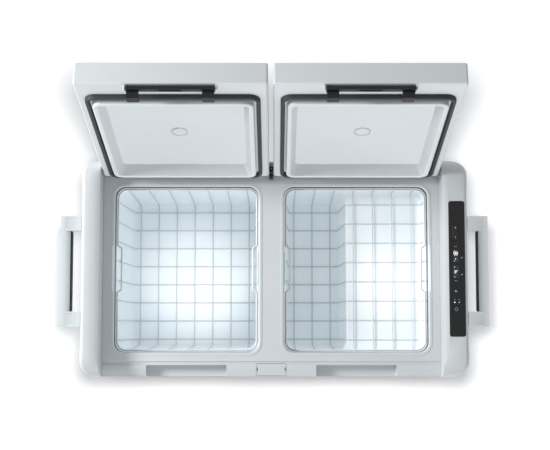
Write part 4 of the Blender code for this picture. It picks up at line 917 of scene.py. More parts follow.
def make_liner(side, floor, well=None):
    sizes = bpy.context.scene.cooler_sizes
    opening, wall, lip = mouth(side), 0.0022, 0.0030
    jog = (0.0034, 0.0) if side == "left" else (0.0, 0.0034)
    fillet, flange = sizes.floor_fillet, sizes.flange_width
    recess = DECK - 0.0031
    outer_top = [
        (tub_rect(opening, recess - 0.004, wall), MOUTH_RADIUS + wall, recess - 0.004, STRAIGHT),
        (tub_rect(opening, recess, wall), MOUTH_RADIUS + wall, recess, jog),
        (shrink(opening, -wall), MOUTH_RADIUS + wall, DECK + 0.0001, jog),
        (shrink(opening, -flange), MOUTH_RADIUS + flange, DECK + 0.0001, STRAIGHT),
        (shrink(opening, -flange), MOUTH_RADIUS + flange, DECK + 0.0005, STRAIGHT),
        (shrink(opening, 0.0006 - flange), MOUTH_RADIUS + flange - 0.0006, DECK + FLANGE_TOP, STRAIGHT),
    ]
    inner_top = [
        (tub_rect(opening, recess - 0.0008), MOUTH_RADIUS, recess - 0.0008, STRAIGHT),
        (tub_rect(opening, recess + 0.001), MOUTH_RADIUS, recess + 0.001, jog),
    ]
    for angle in quarter(5):
        grow = lip * (1 - math.cos(angle))
        inner_top.append((shrink(opening, -grow), MOUTH_RADIUS + grow,
                          DECK + FLANGE_TOP - lip * (1 - math.sin(angle)), jog))
    inner_top.append((shrink(opening, -lip), MOUTH_RADIUS + lip, DECK + 0.01, jog))
    liner = jogged_loft(f"compartment_{side}", tub_loops(opening, floor - wall, fillet, wall, outer_top))
    void = jogged_loft("void", tub_loops(opening, floor, fillet, 0.0, inner_top))
    if well is not None:
        well_rect, well_floor = well
        round_step = 0.0045
        skins = []
        for grow, low in ((wall - 0.0001, well_floor - wall), (-0.0001, well_floor)):
            loops = tub_loops(well_rect, low, fillet, grow, [])
            x1 = tub_rect(well_rect, floor - round_step, grow)[1]
            for angle in quarter(6):
                z = floor - round_step + round_step * math.sin(angle)
                x0, _, y0, y1 = tub_rect(well_rect, z, grow)
                flare = round_step * (1 - math.cos(angle)) if grow < 0 else 0.0
                loops.append(((x0, x1 + flare, y0, y1), MOUTH_RADIUS + grow, z, STRAIGHT))
            x1 = loops[-1][0][1]
            for z in (floor + 0.0012, floor + fillet + 0.004):
                x0, _, y0, y1 = tub_rect(well_rect, z, grow)
                loops.append(((x0, x1, y0, y1), MOUTH_RADIUS + grow, z, STRAIGHT))
            skins.append(jogged_loft("well", loops))
        fuse(liner, skins[0])
        fuse(void, skins[1])
    carve(liner, void)
    return smooth(liner, 28)


def well_right():
    """The right side of the deep well at the mouth's level."""
    x1, z1 = node_box("evaporator_right")[1], node_box("evaporator_right")[5]
    return x1 + WALL_SLOPE * (DECK - z1) - LINER_WALL - 0.0013


def shelf_level():
    return OPENINGS["right_shelf"][0][2] - SHELF_CLEARANCE


def make_liners():
    floor = node_box("liner_left")[4] + LINER_WALL
    settle(make_liner("left", floor), "liner_white", "cabinet", "liner_left")
    opening = mouth("right")
    well = (opening[0], well_right(), opening[2], opening[3])
    settle(make_liner("right", shelf_level(), (well, floor)), "liner_white", "cabinet", "liner_right")


# ---------------------------------------------------------------- baskets

def basket_frame(side, level):
    """The top wire, which steps inwards at the middle of both ends."""
    sizes = bpy.context.scene.cooler_sizes
    x0, x1, y0, y1 = shrink(tub_rect(mouth(side), level), 0.0038)
    radius, jog = MOUTH_RADIUS - 0.002, sizes.jog_depth
    half, ease = JOG_HALF - 0.002, 0.006
    points = []
    for x, side_way, order in ((x1, -1, 1), (x0, 1, -1)):
        corner = (x - radius, y0 + radius) if order > 0 else (x + radius, y1 - radius)
        start = -90 if order > 0 else 90
        points += arc(corner, radius, start, start + 90)
        stepped = x + side_way * jog
        points += [(x, -order * (half + ease)), (stepped, -order * half),
                   (stepped, order * half), (x, order * (half + ease))]
        corner = (x - radius, y1 - radius) if order > 0 else (x + radius, y0 + radius)
        points += arc(corner, radius, start + 90, start + 180)
    wire_loop = [(x, y, level) for x, y in points]
    return wire(f"frame_{side}", wire_loop, sizes.frame_wire_radius, 0.003, "loop", sides=10)


def wall_x(side, z, which, gap):
    rect = tub_rect(mouth(side), z)
    return rect[0] + gap if which == 0 else rect[1] - gap


def hoop_across(side, y, profile, level, jog=0.0):
    """A wire in the XZ plane, through a profile of floor points, up to the frame at both ends."""
    gap = WIRE_GAP
    points = [(wall_x(side, level, 0, gap - 0.001) + jog, y, level - 0.0005)]
    if jog:
        points.append((wall_x(side, level - 0.020, 0, gap), y, level - 0.020))
    points += [(x, y, z) for x, z in profile]
    if jog:
        points.append((wall_x(side, level - 0.020, 1, gap), y, level - 0.020))
    points.append((wall_x(side, level, 1, gap - 0.001) - jog, y, level - 0.0005))
    return points


def hoop_along(side, x, floor, level):
    gap = WIRE_GAP
    low, top = tub_rect(mouth(side), floor), tub_rect(mouth(side), level)
    return [(x, top[2] + gap - 0.001, level - 0.0005), (x, low[2] + gap, floor),
            (x, low[3] - gap, floor), (x, top[3] - gap + 0.001, level - 0.0005)]


def make_basket(side, level, across, along):
    """A welded basket: the top wire, wires across it and wires along it.

    across is the floor profile of the wires across. along is a list of (x, spacing, count, floor).
    """
    sizes = bpy.context.scene.cooler_sizes
    radius, pitch = sizes.wire_radius, 0.0468
    middle = -0.004
    parts = [basket_frame(side, level)]
    for first, count, jog in ((-3.5, 3, 0.0), (-0.5, 2, sizes.jog_depth), (1.5, 3, 0.0)):
        points = hoop_across(side, middle + first * pitch, across, level, jog)
        parts.append(wire(f"across_{side}", points, radius, 0.009, count=count, spacing=(0, pitch, 0)))
    for x, spacing, count, floor in along:
        points = hoop_along(side, x, floor, level)
        parts.append(wire(f"along_{side}", points, radius, 0.009, count=count, spacing=(spacing, 0, 0)))
    return merged(f"wire_basket_{side}", *parts)


def make_baskets():
    sizes = bpy.context.scene.cooler_sizes
    radius = sizes.wire_radius
    floor = node_box("liner_left")[4] + LINER_WALL + radius + 0.0003
    level = DECK - BASKET_TOP
    gap = WIRE_GAP
    upper = 2 * radius - 0.0003
    middle = (mouth("left")[0] + mouth("left")[1]) / 2
    across = [(wall_x("left", floor, 0, gap), floor), (wall_x("left", floor, 1, gap), floor)]
    pitch = 0.0469
    along = [(middle - 3 * pitch, pitch, 7, floor + upper)]
    left = make_basket("left", level, across, along)
    settle(left, "basket_wire", "basket_left", "basket_left")

    shelf = shelf_level() + radius + 0.0003
    x0 = mouth("right")[0]
    step_x = well_right() - gap
    step_low = step_x - WALL_SLOPE * (DECK - floor)
    step_high = step_x - WALL_SLOPE * (DECK - shelf)
    across = [
        (wall_x("right", floor, 0, gap), floor), (step_low, floor),
        (step_high, shelf - 0.006), (step_high + 0.010, shelf), (wall_x("right", shelf, 1, gap), shelf),
    ]
    along = [(x0 + 0.0282, 0.0468, 3, floor + upper), (x0 + 0.1685, 0.0470, 4, shelf + upper)]
    right = make_basket("right", level, across, along)
    settle(right, "basket_wire", "basket_right", "basket_right")


# ---------------------------------------------------------------- lids

def swing(side):
    """The turn that opens a closed lid to where it rests."""
    joint = JOINTS[f"lid_{side}_hinge"]
    place = Vector(joint["pos_m"])
    turn = Matrix.Rotation(math.radians(min(joint["range_deg"])), 4, "X")
    return Matrix.Translation(place) @ turn @ Matrix.Translation(-place)


def closed_box(node, side):
    """A lid node's box with its lid shut."""
    back = swing(side).inverted()
    points = [back @ vertex.co for vertex in frame["nodes"][node].data.vertices]
    spans = []
    for axis in range(3):
        values = [point[axis] for point in points]
        spans += [min(values), max(values)]
    return spans


def opened(obj, side):
    obj.data.transform(swing(side))
    return obj


def make_lid_cover(side):
    x0, x1, y0, y1, z0, z1 = closed_box(f"lid_{side}_shell", side)
    edge, wall = bpy.context.scene.cooler_sizes.lid_edge, 0.003
    cover = rounded_block(f"lid_{side}_cover", (x0, x1, y0, y1), z0, z1, edge + 0.0004, edge, 5)
    inside = (x0 + wall, x1 - wall, y0 + wall, y1 - wall)
    carve(cover, block("inside", inside[:2], inside[2:], (z0 - 0.01, z1 - wall)))
    field = shrink((x0, x1, y0, y1), 0.026)
    groove = shrink(field, 0.0022)
    channel = [ring(field, 0.016, z1 + 0.001), ring(field, 0.016, z1 - 0.0007),
               ring(groove, 0.0138, z1 - 0.0007), ring(groove, 0.0138, z1 + 0.001)]
    carve(cover, loft("channel", channel, closed=True))
    settle(opened(smooth(cover, 30), side), "shell_grey", f"lid_{side}", f"lid_{side}_shell")


def lid_moulding_loops(rim, plateau, base, low, pan):
    """Rings of the inner moulding, from its rim over the plateau's edge into the pan."""
    edge, lip, radius = 0.0032, 0.010, 0.019
    loops = [ring(rim, 0.003, base)]
    loops.append(ring(shrink(plateau, -0.0025), radius + 0.0025, base))
    for angle in quarter(3):
        grow = 0.0025 * (1 - math.sin(angle))
        loops.append(ring(shrink(plateau, -grow), radius + grow, base - 0.0025 * (1 - math.cos(angle))))
    for angle in quarter(5):
        inset = edge * (1 - math.cos(angle))
        loops.append(ring(shrink(plateau, inset), radius - inset, low + edge - edge * math.sin(angle)))
    for angle in quarter(5):
        inset = lip - edge + edge * math.sin(angle)
        loops.append(ring(shrink(plateau, inset), radius - inset * 0.7, low + edge * (1 - math.cos(angle))))
    slope, corner = 0.012, 0.003
    for angle in quarter(5):
        inset = lip + slope + corner * (1 - math.cos(angle)) - 0.002
        loops.append(ring(shrink(plateau, inset), radius - lip * 0.7, pan - corner * (1 - math.sin(angle))))
    return loops


def make_lid_moulding(side):
    rim_box = closed_box(f"lid_{side}_shell", side)
    seal = closed_box(f"lid_{side}_gasket", side)
    liner = closed_box(f"lid_{side}_liner", side)
    plug = closed_box(f"lid_{side}_plug", side)
    base = rim_box[4]
    pan = plug[5] + 0.0003
    low = seal[4] - 0.0055
    rim = shrink(rim_box[:4], 0.0033)
    plateau = (seal[0] + 0.0143, seal[1] - 0.0143, seal[2] + 0.0155, seal[3] - 0.0155)
    lower = lid_moulding_loops(rim, plateau, base, low, pan)
    depth = 0.0022
    upper = [ring(rim, 0.003, base + depth), ring(shrink(plateau, 0.012), 0.012, base + depth),
             ring(shrink(plateau, 0.020), 0.012, pan + depth)]
    moulding = loft(f"lid_{side}_moulding", lower[::-1] + upper)
    carve_seams(moulding, rim, base)
    middle = (liner[0] + liner[1]) / 2
    lever = closed_latch(side)
    for way in (-1, 1):
        x = middle + way * (0.089 + 0.0008)
        ear = rounded_block("ear", (min(x, x + way * 0.004), max(x, x + way * 0.004), lever["y"] - 0.004,
                                    lever["y"] + 0.004), lever["z"] - 0.004, base + 0.001, 0.0015, 0.0008, 3)
        fuse(moulding, carve(ear, rod("bore", (x, lever["y"], lever["z"]), 0.0018, 0.03, "X")))
    settle(opened(smooth(moulding, 30), side), "lid_liner_grey", f"lid_{side}", f"lid_{side}_liner")
    return pan, base


def carve_seams(moulding, rim, base):
    """Fine seams near the hinge, where the hinge blocks meet the moulding."""
    for x in (rim[0] + 0.020, rim[1] - 0.020):
        carve(moulding, block("seam", (x - 0.00025, x + 0.00025), (rim[3] - 0.020, rim[3] + 0.002),
                              (base - 0.001, base + 0.0005)))


def make_lid_seal(side):
    """A bellows gasket: a soft lip, a fold and a magnet bead."""
    x0, x1, y0, y1, z0, z1 = closed_box(f"lid_{side}_gasket", side)
    section = [(0.0, z1 - 0.002), (0.0004, z0 + 0.003), (0.0012, z0 + 0.0008), (0.0028, z0), (0.0062, z0),
               (0.0078, z0 + 0.0008), (0.0086, z0 + 0.003), (0.0072, z0 + 0.0046), (0.0090, z1 - 0.0024),
               (0.0090, z1), (0.0, z1)]
    loops = [ring(shrink((x0, x1, y0, y1), inset), MOUTH_RADIUS - inset, z) for inset, z in section]
    seal = loft(f"lid_{side}_seal", loops, closed=True)
    settle(opened(smooth(seal, 38), side), "gasket_black", f"lid_{side}", f"lid_{side}_gasket")


def make_lid_plug(side, pan):
    """The round filler plug in the middle of the pan."""
    x0, x1, y0, y1, _, _ = closed_box(f"lid_{side}_plug", side)
    x, y, radius = (x0 + x1) / 2, (y0 + y1) / 2, (x1 - x0) / 2
    profile = [(radius, 0.0), (radius, -0.0012), (radius - 0.0005, -0.0015), (radius - 0.0012, -0.0014),
               (radius - 0.0013, 0.0), (radius - 0.0024, 0.0), (radius - 0.0026, -0.0009),
               (radius - 0.0034, -0.0011)]
    loops = [circle(x, y, reach, pan - 0.0002 + z, 48) for reach, z in profile]
    plug = loft(f"lid_{side}_filler_plug", loops)
    settle(opened(smooth(plug, 25), side), "lid_liner_grey", f"lid_{side}", f"lid_{side}_plug")


def make_lid_screws(side, base):
    x0, x1, _, y1, _, _ = closed_box(f"lid_{side}_shell", side)
    points = [((x0 + x1) / 2 + way * 0.141, y1 - 0.0085, base - 0.0001) for way in (-1, 1)]
    heads = screws(f"lid_{side}_screws", points, 0.0030, 0.0012, (math.pi, 0, 0))
    settle(opened(heads, side), "latch_black", f"lid_{side}")


def make_lids():
    for side, _ in SIDES:
        make_lid_cover(side)
        pan, base = make_lid_moulding(side)
        make_lid_seal(side)
        make_lid_plug(side, pan)
        make_lid_screws(side, base)


# ---------------------------------------------------------------- latches

def closed_latch(side):
    """A latch's box and pin with its lid shut."""
    x0, x1, y0, y1, z0, z1 = closed_box(f"latch_{side}_lever", side)
    pin = closed_box(f"latch_{side}_pin", side)
    return {"box": (x0, x1, y0, y1, z0, z1), "y": (pin[2] + pin[3]) / 2, "z": (pin[4] + pin[5]) / 2}


def make_latch(side):
    """The bar, wider at its ends, with two hooked legs, a pull slot and its pin bore."""
    facts = closed_latch(side)
    x0, x1, y0, _, z0, z1 = facts["box"]
    middle, depth, height = (x0 + x1) / 2, 0.013, 0.010
    half = (x1 - x0) / 2
    loops = []
    steps_in = (0.0, 0.0010, 0.0060, 0.0085)
    for x in [step - half for step in steps_in] + [half - step for step in steps_in[::-1]]:
        inset = 0.0010 if abs(x) > half - 0.0005 else 0.0
        waist = 0.0012 if abs(x) < half - 0.007 else 0.0
        section = (y0 + inset, y0 + depth - inset - waist * 0.5,
                   z1 - height + inset + waist, z1 - inset - waist * 0.3)
        loops.append([(middle + x, y, z) for y, z in flat_ring(section, 0.0016, 4)])
    bar = loft(f"latch_{side}_bar", loops)
    hook_y0, hook_y1, nose = y0 + depth / 2, y0 + depth / 2 + 0.012, facts["box"][3]
    for way in (-1, 1):
        x = middle + way * (half - 0.014)
        outline = [(hook_y0, z1 - 0.003), (hook_y0, z0), (hook_y1, z0), (nose, z0 + 0.001),
                   (nose, z0 + 0.003), (hook_y1, z0 + 0.005), (y0 + depth - 0.001, z1 - 0.003)]
        leg = extruded("leg", outline, x - 0.012, x + 0.012, "X")
        for offset in (-0.0006, 0.0030, -0.0042):
            carve(leg, block("line", (x + offset - 0.0002, x + offset + 0.0004),
                             (hook_y0 - 0.01, hook_y0 + 0.0004), (z0 + 0.0015, z1 - height - 0.001)))
        fuse(bar, leg)
    carve(bar, block("slot", (middle - 0.023, middle + 0.023), (y0 + 0.0015, y0 + depth - 0.0030),
                     (z1 - height - 0.002, z1 - height + 0.0030)))
    carve(bar, rod("bore", (middle, facts["y"], facts["z"]), 0.0018, 2.2 * half, "X"))
    rounded(bar, 0.0004, 2, 40)
    settle(opened(bar, side), "latch_black", f"latch_{side}", f"latch_{side}_lever")


def make_latches():
    for side, _ in SIDES:
        make_latch(side)


# ---------------------------------------------------------------- hinge

def make_hinge_bracket():
    """A waisted bracket between the lids, with two screws and a bore for its pin."""
    x0, x1, y0, y1, z0, z1 = node_box("hinge_bracket_centre")
    middle, half = (x0 + x1) / 2, (x1 - x0) / 2
    outline = []
    steps = 20
    for way in (1, -1):
        for step in range(steps + 1):
            share = step / steps if way > 0 else 1 - step / steps
            waist = 0.30 * math.exp(-((share - 0.55) / 0.16) ** 2)
            outline.append((middle + way * half * (1 - waist), y0 + (y1 - y0) * share))
    plate = extruded("hinge_plate", outline, z0, z1 - 0.008, "Z")
    barrel = rod("barrel", (middle, HINGE.y, HINGE.z), z1 - HINGE.z, x1 - x0 - 0.0004, "X", 32)
    fuse(plate, barrel)
    fuse(plate, block("web", (middle - half * 0.7, middle + half * 0.7), (HINGE.y - 0.004, HINGE.y + 0.008),
                      (z0 + 0.001, z1 - 0.004)))
    carve(plate, rod("bore", (middle, HINGE.y, HINGE.z), 0.0030, 0.03, "X"))
    settle(rounded(plate, 0.0004, 2, 40), "latch_black", "cabinet", "hinge_bracket_centre")
    points = [(middle, y1 - 0.0050, z1 - 0.0078), (middle, y1 - 0.0150, z1 - 0.0078)]
    settle(screws("hinge_screws", points, 0.0020, 0.0010, finish="steel"), "steel", "cabinet")


# ---------------------------------------------------------------- control panel

SEGMENTS = {"8": "abcdefg", "1": "bc", "4": "bcfg", "-": "g"}
SEGMENT_PLACES = {"a": (0, 1, 0), "b": (1, 0.5, 1), "c": (1, -0.5, 1), "d": (0, -1, 0), "e": (-1, -0.5, 1),
                  "f": (-1, 0.5, 1), "g": (0, 0, 0)}


def digit_bars(text, x, y, height, level):
    """Lit bars of seven-segment digits that read along +Y, with their tops towards -X."""
    width, bar = 0.26 * height, 0.075 * height
    bars = []
    pitch = 0.78 * height
    for index, letter in enumerate(text):
        centre_y = y + (index - (len(text) - 1) / 2) * pitch
        for segment in SEGMENTS[letter]:
            across, up, upright = SEGMENT_PLACES[segment]
            along_y = centre_y + across * width
            along_x = x - up * height / 2
            long_x, long_y = (height / 2 - bar, bar) if upright else (bar, 2 * width - bar)
            bars.append(stroke(along_x, along_y, long_x, long_y, level))
    return bars


def disc(x, y, radius, level, steps=20):
    return loft("disc", [circle(x, y, radius, z, steps) for z in (level, level + MARK_HEIGHT)])


def circle_mark(x, y, radius, width, level, steps=24):
    top, inner = level + MARK_HEIGHT, radius - width
    section = ((radius, level), (radius, top), (inner, top), (inner, level))
    return loft("circle_mark", [circle(x, y, reach, z, steps) for reach, z in section], closed=True)


def stroke(x, y, long_x, long_y, level):
    rect = (x - long_x / 2, x + long_x / 2, y - long_y / 2, y + long_y / 2)
    return loft("stroke", [ring(rect, 0.0002, z, 2) for z in (level, level + MARK_HEIGHT)])


def make_panel():
    top = FASCIA_BOX[5]
    fascia = softened("panel_face", "control_fascia", 0.0004, 3)
    settle(fascia, "panel_gloss", "cabinet", "control_fascia")
    rocker_box = node_box("temperature_rocker")
    rocker = softened("rocker_cap", "temperature_rocker", 0.0006, 3)
    settle(rocker, "button_black", "temperature_rocker", "temperature_rocker")
    centre_x = (rocker_box[0] + rocker_box[1]) / 2
    level = rocker_box[5] - 0.00005
    plus_y, minus_y = rocker_box[3] - 0.0085, rocker_box[2] + 0.0085
    marks = [stroke(centre_x, plus_y, 0.0036, 0.0008, level), stroke(centre_x, plus_y, 0.0008, 0.0036, level),
             stroke(centre_x, minus_y, 0.0008, 0.0036, level)]
    settle(merged("rocker_signs", *marks), "liner_white", "temperature_rocker", finish="panel_print")

    for node, sign in (("mode_button", "bars"), ("power_button", "ring")):
        box = node_box(node)
        x, y, level = (box[0] + box[1]) / 2, (box[2] + box[3]) / 2, box[5] - 0.00005
        button = softened(f"{node}_cap", node, 0.0007, 3)
        settle(button, "button_black", node, node)
        if sign == "ring":
            signs = [circle_mark(x, y, 0.0036, 0.0004, level)]
        else:
            signs = [stroke(x, y, 0.0042, 0.0012, level),
                     stroke(x - 0.0012, y + 0.0018, 0.0012, 0.0026, level)]
        settle(merged(f"{node}_sign", *signs), "liner_white", node, finish="panel_print")

    display = node_box("display_module")
    level = display[5]
    lens_ys = (0.0258, -0.0110)
    digits = []
    for text, y in zip(("-18", "4"), lens_ys):
        digits += digit_bars(text, centre_x, y, 0.0086, level)
    digits += [disc(centre_x - 0.0030, y + way * 0.0115, 0.0006, level) for y in lens_ys for way in (-1, 1)]
    settle(merged("display_digits", *digits), "lens_clear", "cabinet", finish="display_lit")

    face = top - 0.00005
    marks = [circle_mark(centre_x + 0.0135, lens_ys[0] - 0.004, 0.0016, 0.0005, face),
             circle_mark(centre_x + 0.0135, lens_ys[1] - 0.006, 0.0016, 0.0005, face)]
    pipe_y = (node_box("status_light_pipe")[2] + node_box("status_light_pipe")[3]) / 2
    dots = ((-0.0020, lens_ys[0] + 0.0215), (0.0016, lens_ys[0] + 0.0215),
            (-0.0020, lens_ys[1] - 0.0205), (0.0022, lens_ys[1] - 0.0205),
            (-0.0036, pipe_y + 0.0060), (0.0064, pipe_y + 0.0060))
    for x, y in dots:
        marks.append(disc(centre_x + x, y, 0.0007, face, 12))
    settle(merged("panel_signs", *marks), "liner_white", "cabinet", finish="panel_print")
    lamp_x = centre_x - 0.0036
    plan = (lamp_x - 0.0011, lamp_x + 0.0011, pipe_y - 0.0011, pipe_y + 0.0011)
    lamp = rounded_block("status_lamp", plan, top - 0.0015, top + 0.0002, 0.0011, 0.0004)
    settle(smooth(lamp), "lens_clear", "cabinet", finish="lamp_green")


# ---------------------------------------------------------------- handles

def make_handles():
    sizes = bpy.context.scene.cooler_sizes
    for side, way in SIDES:
        handle = softened(f"carry_handle_{side}", f"handle_{side}", sizes.edge_round, 3)
        settle(handle, "shell_grey", f"handle_{side}", f"handle_{side}")
        x0, x1, y0, y1, z0, z1 = node_box(f"handle_{side}_grip")
        base = softened(f"grip_base_{side}", f"handle_{side}_grip", 0.0008, 3)
        face = x0 if way > 0 else x1
        rib = 0.0009
        x = face + way * rib * 0.55
        count = sizes.grip_ribs
        pitch = (y1 - y0 - 0.012) / (count - 1)
        points = [(x, y0 + 0.006, z0 + 0.0022), (x, y0 + 0.006, z1 - 0.0022)]
        ribs = wire(f"grip_ribs_{side}", points, rib, 0.0, "line", count, (0, pitch, 0), 8, "rubber_black")
        grip = merged(f"handle_{side}_ribbed_grip", base, ribs)
        settle(grip, "rubber_black", f"handle_{side}", f"handle_{side}_grip")


# ---------------------------------------------------------------- base and walls

def make_wall(name, node, front):
    """A wall panel with a shallow groove round its field."""
    x0, x1, y0, y1, z0, z1 = node_box(node)
    wall = softened(name, node, 0.0006, 2)
    face = y0 if front else y1
    way = -1 if front else 1
    margin = 0.030
    rect = (x0 + margin, x1 - margin, z0 + margin, z1 - margin)
    inner = shrink(rect, 0.0026)
    above, below = face + way * 0.002, face - way * 0.0006
    loops = []
    for shape, radius, y in ((rect, 0.014, above), (rect, 0.014, below), (inner, 0.0114, below),
                             (inner, 0.0114, above)):
        loops.append([(x, y, z) for x, z in flat_ring(shape, radius)])
    carve(wall, loft("field", loops, closed=True))
    return smooth(wall, 30)


def make_walls():
    settle(make_wall("front_wall", "front_panel", True), "shell_grey", "cabinet", "front_panel")
    settle(make_wall("rear_wall", "rear_panel", False), "shell_grey", "cabinet", "rear_panel")
    settle(softened("base_tray", "base_pan", 0.0008, 2), "pan_charcoal", "cabinet", "base_pan")
    for end in ("front", "rear"):
        for side, _ in SIDES:
            node = f"foot_{end}_{side}"
            foot = softened(f"rubber_foot_{end}_{side}", node, 0.0005, 3)
            settle(foot, "rubber_black", "cabinet", node)
    rear = node_box("rear_panel")
    points = [(x, rear[3] - 0.0004, z) for x in (rear[0] + 0.014, 0.0, rear[1] - 0.014)
              for z in (rear[4] + 0.014, rear[5] - 0.014)]
    heads = screws("rear_screws", points, 0.0038, 0.0008, (-math.pi / 2, 0, 0), "steel")
    settle(heads, "steel", "cabinet")


def make_grille():
    """A frame with sloping louvres, and the plate with the two power inlets."""
    x0, x1, y0, y1, z0, z1 = node_box("air_grille")
    rim = 0.008
    face = (y0, y1, z0, z1)
    border = extruded("grille_border", flat_ring(face, 0.004), x0, x1, "X")
    carve(border, extruded("grille_mouth", flat_ring(shrink(face, rim), 0.003), x0 - 0.01, x1 + 0.01, "X"))
    rounded(border, 0.0006, 2, 40)
    count = 12
    pitch = (z1 - z0 - 2 * rim) / count
    middle, first = (x0 + x1) / 2, z0 + rim + pitch / 2
    points = [(middle, y0 + rim - 0.001, first), (middle, y1 - rim + 0.001, first)]
    louvres = wire("louvres", points, 0.0014, 0.0, "line", count, (0, 0, pitch), 6, "pan_charcoal")
    post_x, post_pitch = x0 + 0.0010, (y1 - y0) / 4
    points = [(post_x, y0 + post_pitch, z0 + rim - 0.001), (post_x, y0 + post_pitch, z1 - rim + 0.001)]
    posts = wire("posts", points, 0.0010, 0.0, "line", 3, (0, post_pitch, 0), 6, "pan_charcoal")
    settle(merged("louvred_grille", border, louvres, posts), "pan_charcoal", "cabinet", "air_grille")
    settle(softened("inlet_plate", "power_inlets", 0.0006, 2), "latch_black", "cabinet", "power_inlets")
    ac, dc = OPENINGS["ac_inlet"], OPENINGS["dc_inlet"]
    pins = []
    for box, offsets in ((ac, (-0.005, 0.0, 0.005)), (dc, (-0.004, 0.004))):
        x, y, z = box[0][0] + 0.0030, (box[0][1] + box[1][1]) / 2, (box[0][2] + box[1][2]) / 2
        pins += [rod("pin", (x, y + offset, z), 0.0011, 0.0080, "X", 12) for offset in offsets]
    settle(smooth(merged("inlet_pins", *pins)), "steel", "cabinet")


# ---------------------------------------------------------------- pieces kept from the frame

def paint_frame():
    """Gives every node that still shows, or lies inside, its procedural finish."""
    slots = {part["node"]: part["material_slot"] for part in frame["record"]["subparts"]}
    for name, node in frame["nodes"].items():
        finish = FINISHES[slots[name]]
        if not node.material_slots:
            node.data.materials.append(finish)
        for slot in node.material_slots:
            slot.material = finish


# ---------------------------------------------------------------- stage

def area_light(name, place, target, size, power, colour=(1, 1, 1)):
    light = bpy.data.lights.new(name, "AREA")
    light.shape = "DISK"
    light.size = size
    light.energy = power
    light.color = colour
    obj = linked(name, light)
    obj.location = place
    obj.rotation_euler = (Vector(target) - Vector(place)).to_track_quat("-Z", "Y").to_euler()
    return obj


def link_light(light, objects, state):
    """Makes a light leave these objects out, or take only these."""
    receivers = bpy.data.collections.new(f"{light.name}_receivers")
    light.light_linking.receiver_collection = receivers
    for index, obj in enumerate(objects):
        receivers.objects.link(obj)
        receivers.collection_objects[index].light_linking.link_state = state


def make_floor():
    bm = bmesh.new()
    bmesh.ops.create_grid(bm, x_segments=1, y_segments=1, size=6.0)
    floor = object_from("studio_floor", bm)
    nodes, links, shader = new_finish("floor_white")
    tone = noise(nodes, links, object_place(nodes, links), 0.6, 2.0)
    links.new(ramp_colour(nodes, links, tone, (0.93, 0.93, 0.935), 0.004), shader.inputs["Base Color"])
    shader.inputs["Roughness"].default_value = 0.9
    shader.inputs["Emission Color"].default_value = (1, 1, 1, 1)
    shader.inputs["Emission Strength"].default_value = 0.07
    floor.data.materials.append(FINISHES["floor_white"])


def make_camera():
    camera = bpy.data.cameras.new("camera")
    camera.lens = CAMERA_LENS
    camera.sensor_width = 36
    camera.clip_end = 50
    obj = linked("camera", camera)
    obj.location = CAMERA_PLACE
    obj.rotation_euler = (CAMERA_TILT, 0, 0)
    bpy.context.scene.camera = obj


def make_stage():
    light = bpy.context.scene.cooler_light
    make_floor()
    make_camera()
    world = bpy.data.worlds.new("studio")
    world.use_nodes = True
    world.node_tree.nodes["Background"].inputs["Color"].default_value = (0.97, 0.985, 1.0, 1)
    world.node_tree.nodes["Background"].inputs["Strength"].default_value = light.world
    bpy.context.scene.world = world
    floor = [bpy.data.objects["studio_floor"]]
    handle = [bpy.data.objects[name] for name in ("carry_handle_right", "handle_right_ribbed_grip")]
    link_light(area_light("key", (-2.6, 0.65, 2.0), (0, 0, 0.3), 0.9, light.key), floor, "EXCLUDE")
    link_light(area_light("fill", (0.3, -3.0, 1.0), (0, 0, 0.6), 1.5, light.fill), floor, "EXCLUDE")
    lids = [bpy.data.objects[f"lid_{side}_{part}"] for side, _ in SIDES
            for part in ("cover", "moulding", "seal", "filler_plug")]
    link_light(area_light("lid_light", (0.3, -3.0, 1.0), (0, 0, 0.6), 1.5, light.lids), lids, "INCLUDE")
    link_light(area_light("lift", (1.6, -0.2, 1.8), (0.5, 0, 0.3), 0.8, light.lift), handle, "INCLUDE")
    link_light(area_light("overhead", (0.0, 0.0, 2.6), (0, 0, 0), 0.35, light.floor), floor, "INCLUDE")
    for side, _ in SIDES:
        x0, x1, y0, y1 = mouth(side)
        middle_x = (x0 + x1) / 2 if side == "left" else (well_right() + x1) / 2
        spot = bpy.data.lights.new(f"glow_{side}", "SPOT")
        spot.energy = light.glow * (2.6 if side == "left" else 0.75)
        spot.spot_size = math.radians(31 if side == "left" else 26)
        spot.spot_blend = 1.0
        spot.shadow_soft_size = 0.05
        obj = linked(spot.name, spot)
        obj.location = (middle_x, -0.02, 0.80)
        inside = [bpy.data.objects[f"{piece}_{side}"] for piece in ("compartment", "wire_basket")]
        link_light(obj, inside, "INCLUDE")
    bpy.context.scene.view_settings.view_transform = "Standard"


# ---------------------------------------------------------------- operators

class COOLER_OT_finishes(bpy.types.Operator):
    """Make every finish, and paint the pieces that are kept from the frame"""

    bl_idname = "cooler.finishes"
    bl_label = "Finishes"

    def execute(self, context):
        make_finishes()
        paint_frame()
        return {"FINISHED"}


class COOLER_OT_rails(bpy.types.Operator):
    """Build the two rail ends of the cabinet"""

    bl_idname = "cooler.rails"
    bl_label = "Rail ends"

    def execute(self, context):
        make_rails()
        return {"FINISHED"}


class COOLER_OT_deck(bpy.types.Operator):
    """Build the top deck with its notches and its centre cover"""

    bl_idname = "cooler.deck"
    bl_label = "Top deck"

    def execute(self, context):
        make_deck()
        return {"FINISHED"}


class COOLER_OT_liners(bpy.types.Operator):
    """Build the compartment liners with their flanges and fillets"""

    bl_idname = "cooler.liners"
    bl_label = "Liners"

    def execute(self, context):
        make_liners()
        return {"FINISHED"}


class COOLER_OT_baskets(bpy.types.Operator):
    """Weld the two wire baskets"""

    bl_idname = "cooler.baskets"
    bl_label = "Wire baskets"

    def execute(self, context):
        make_baskets()
        return {"FINISHED"}


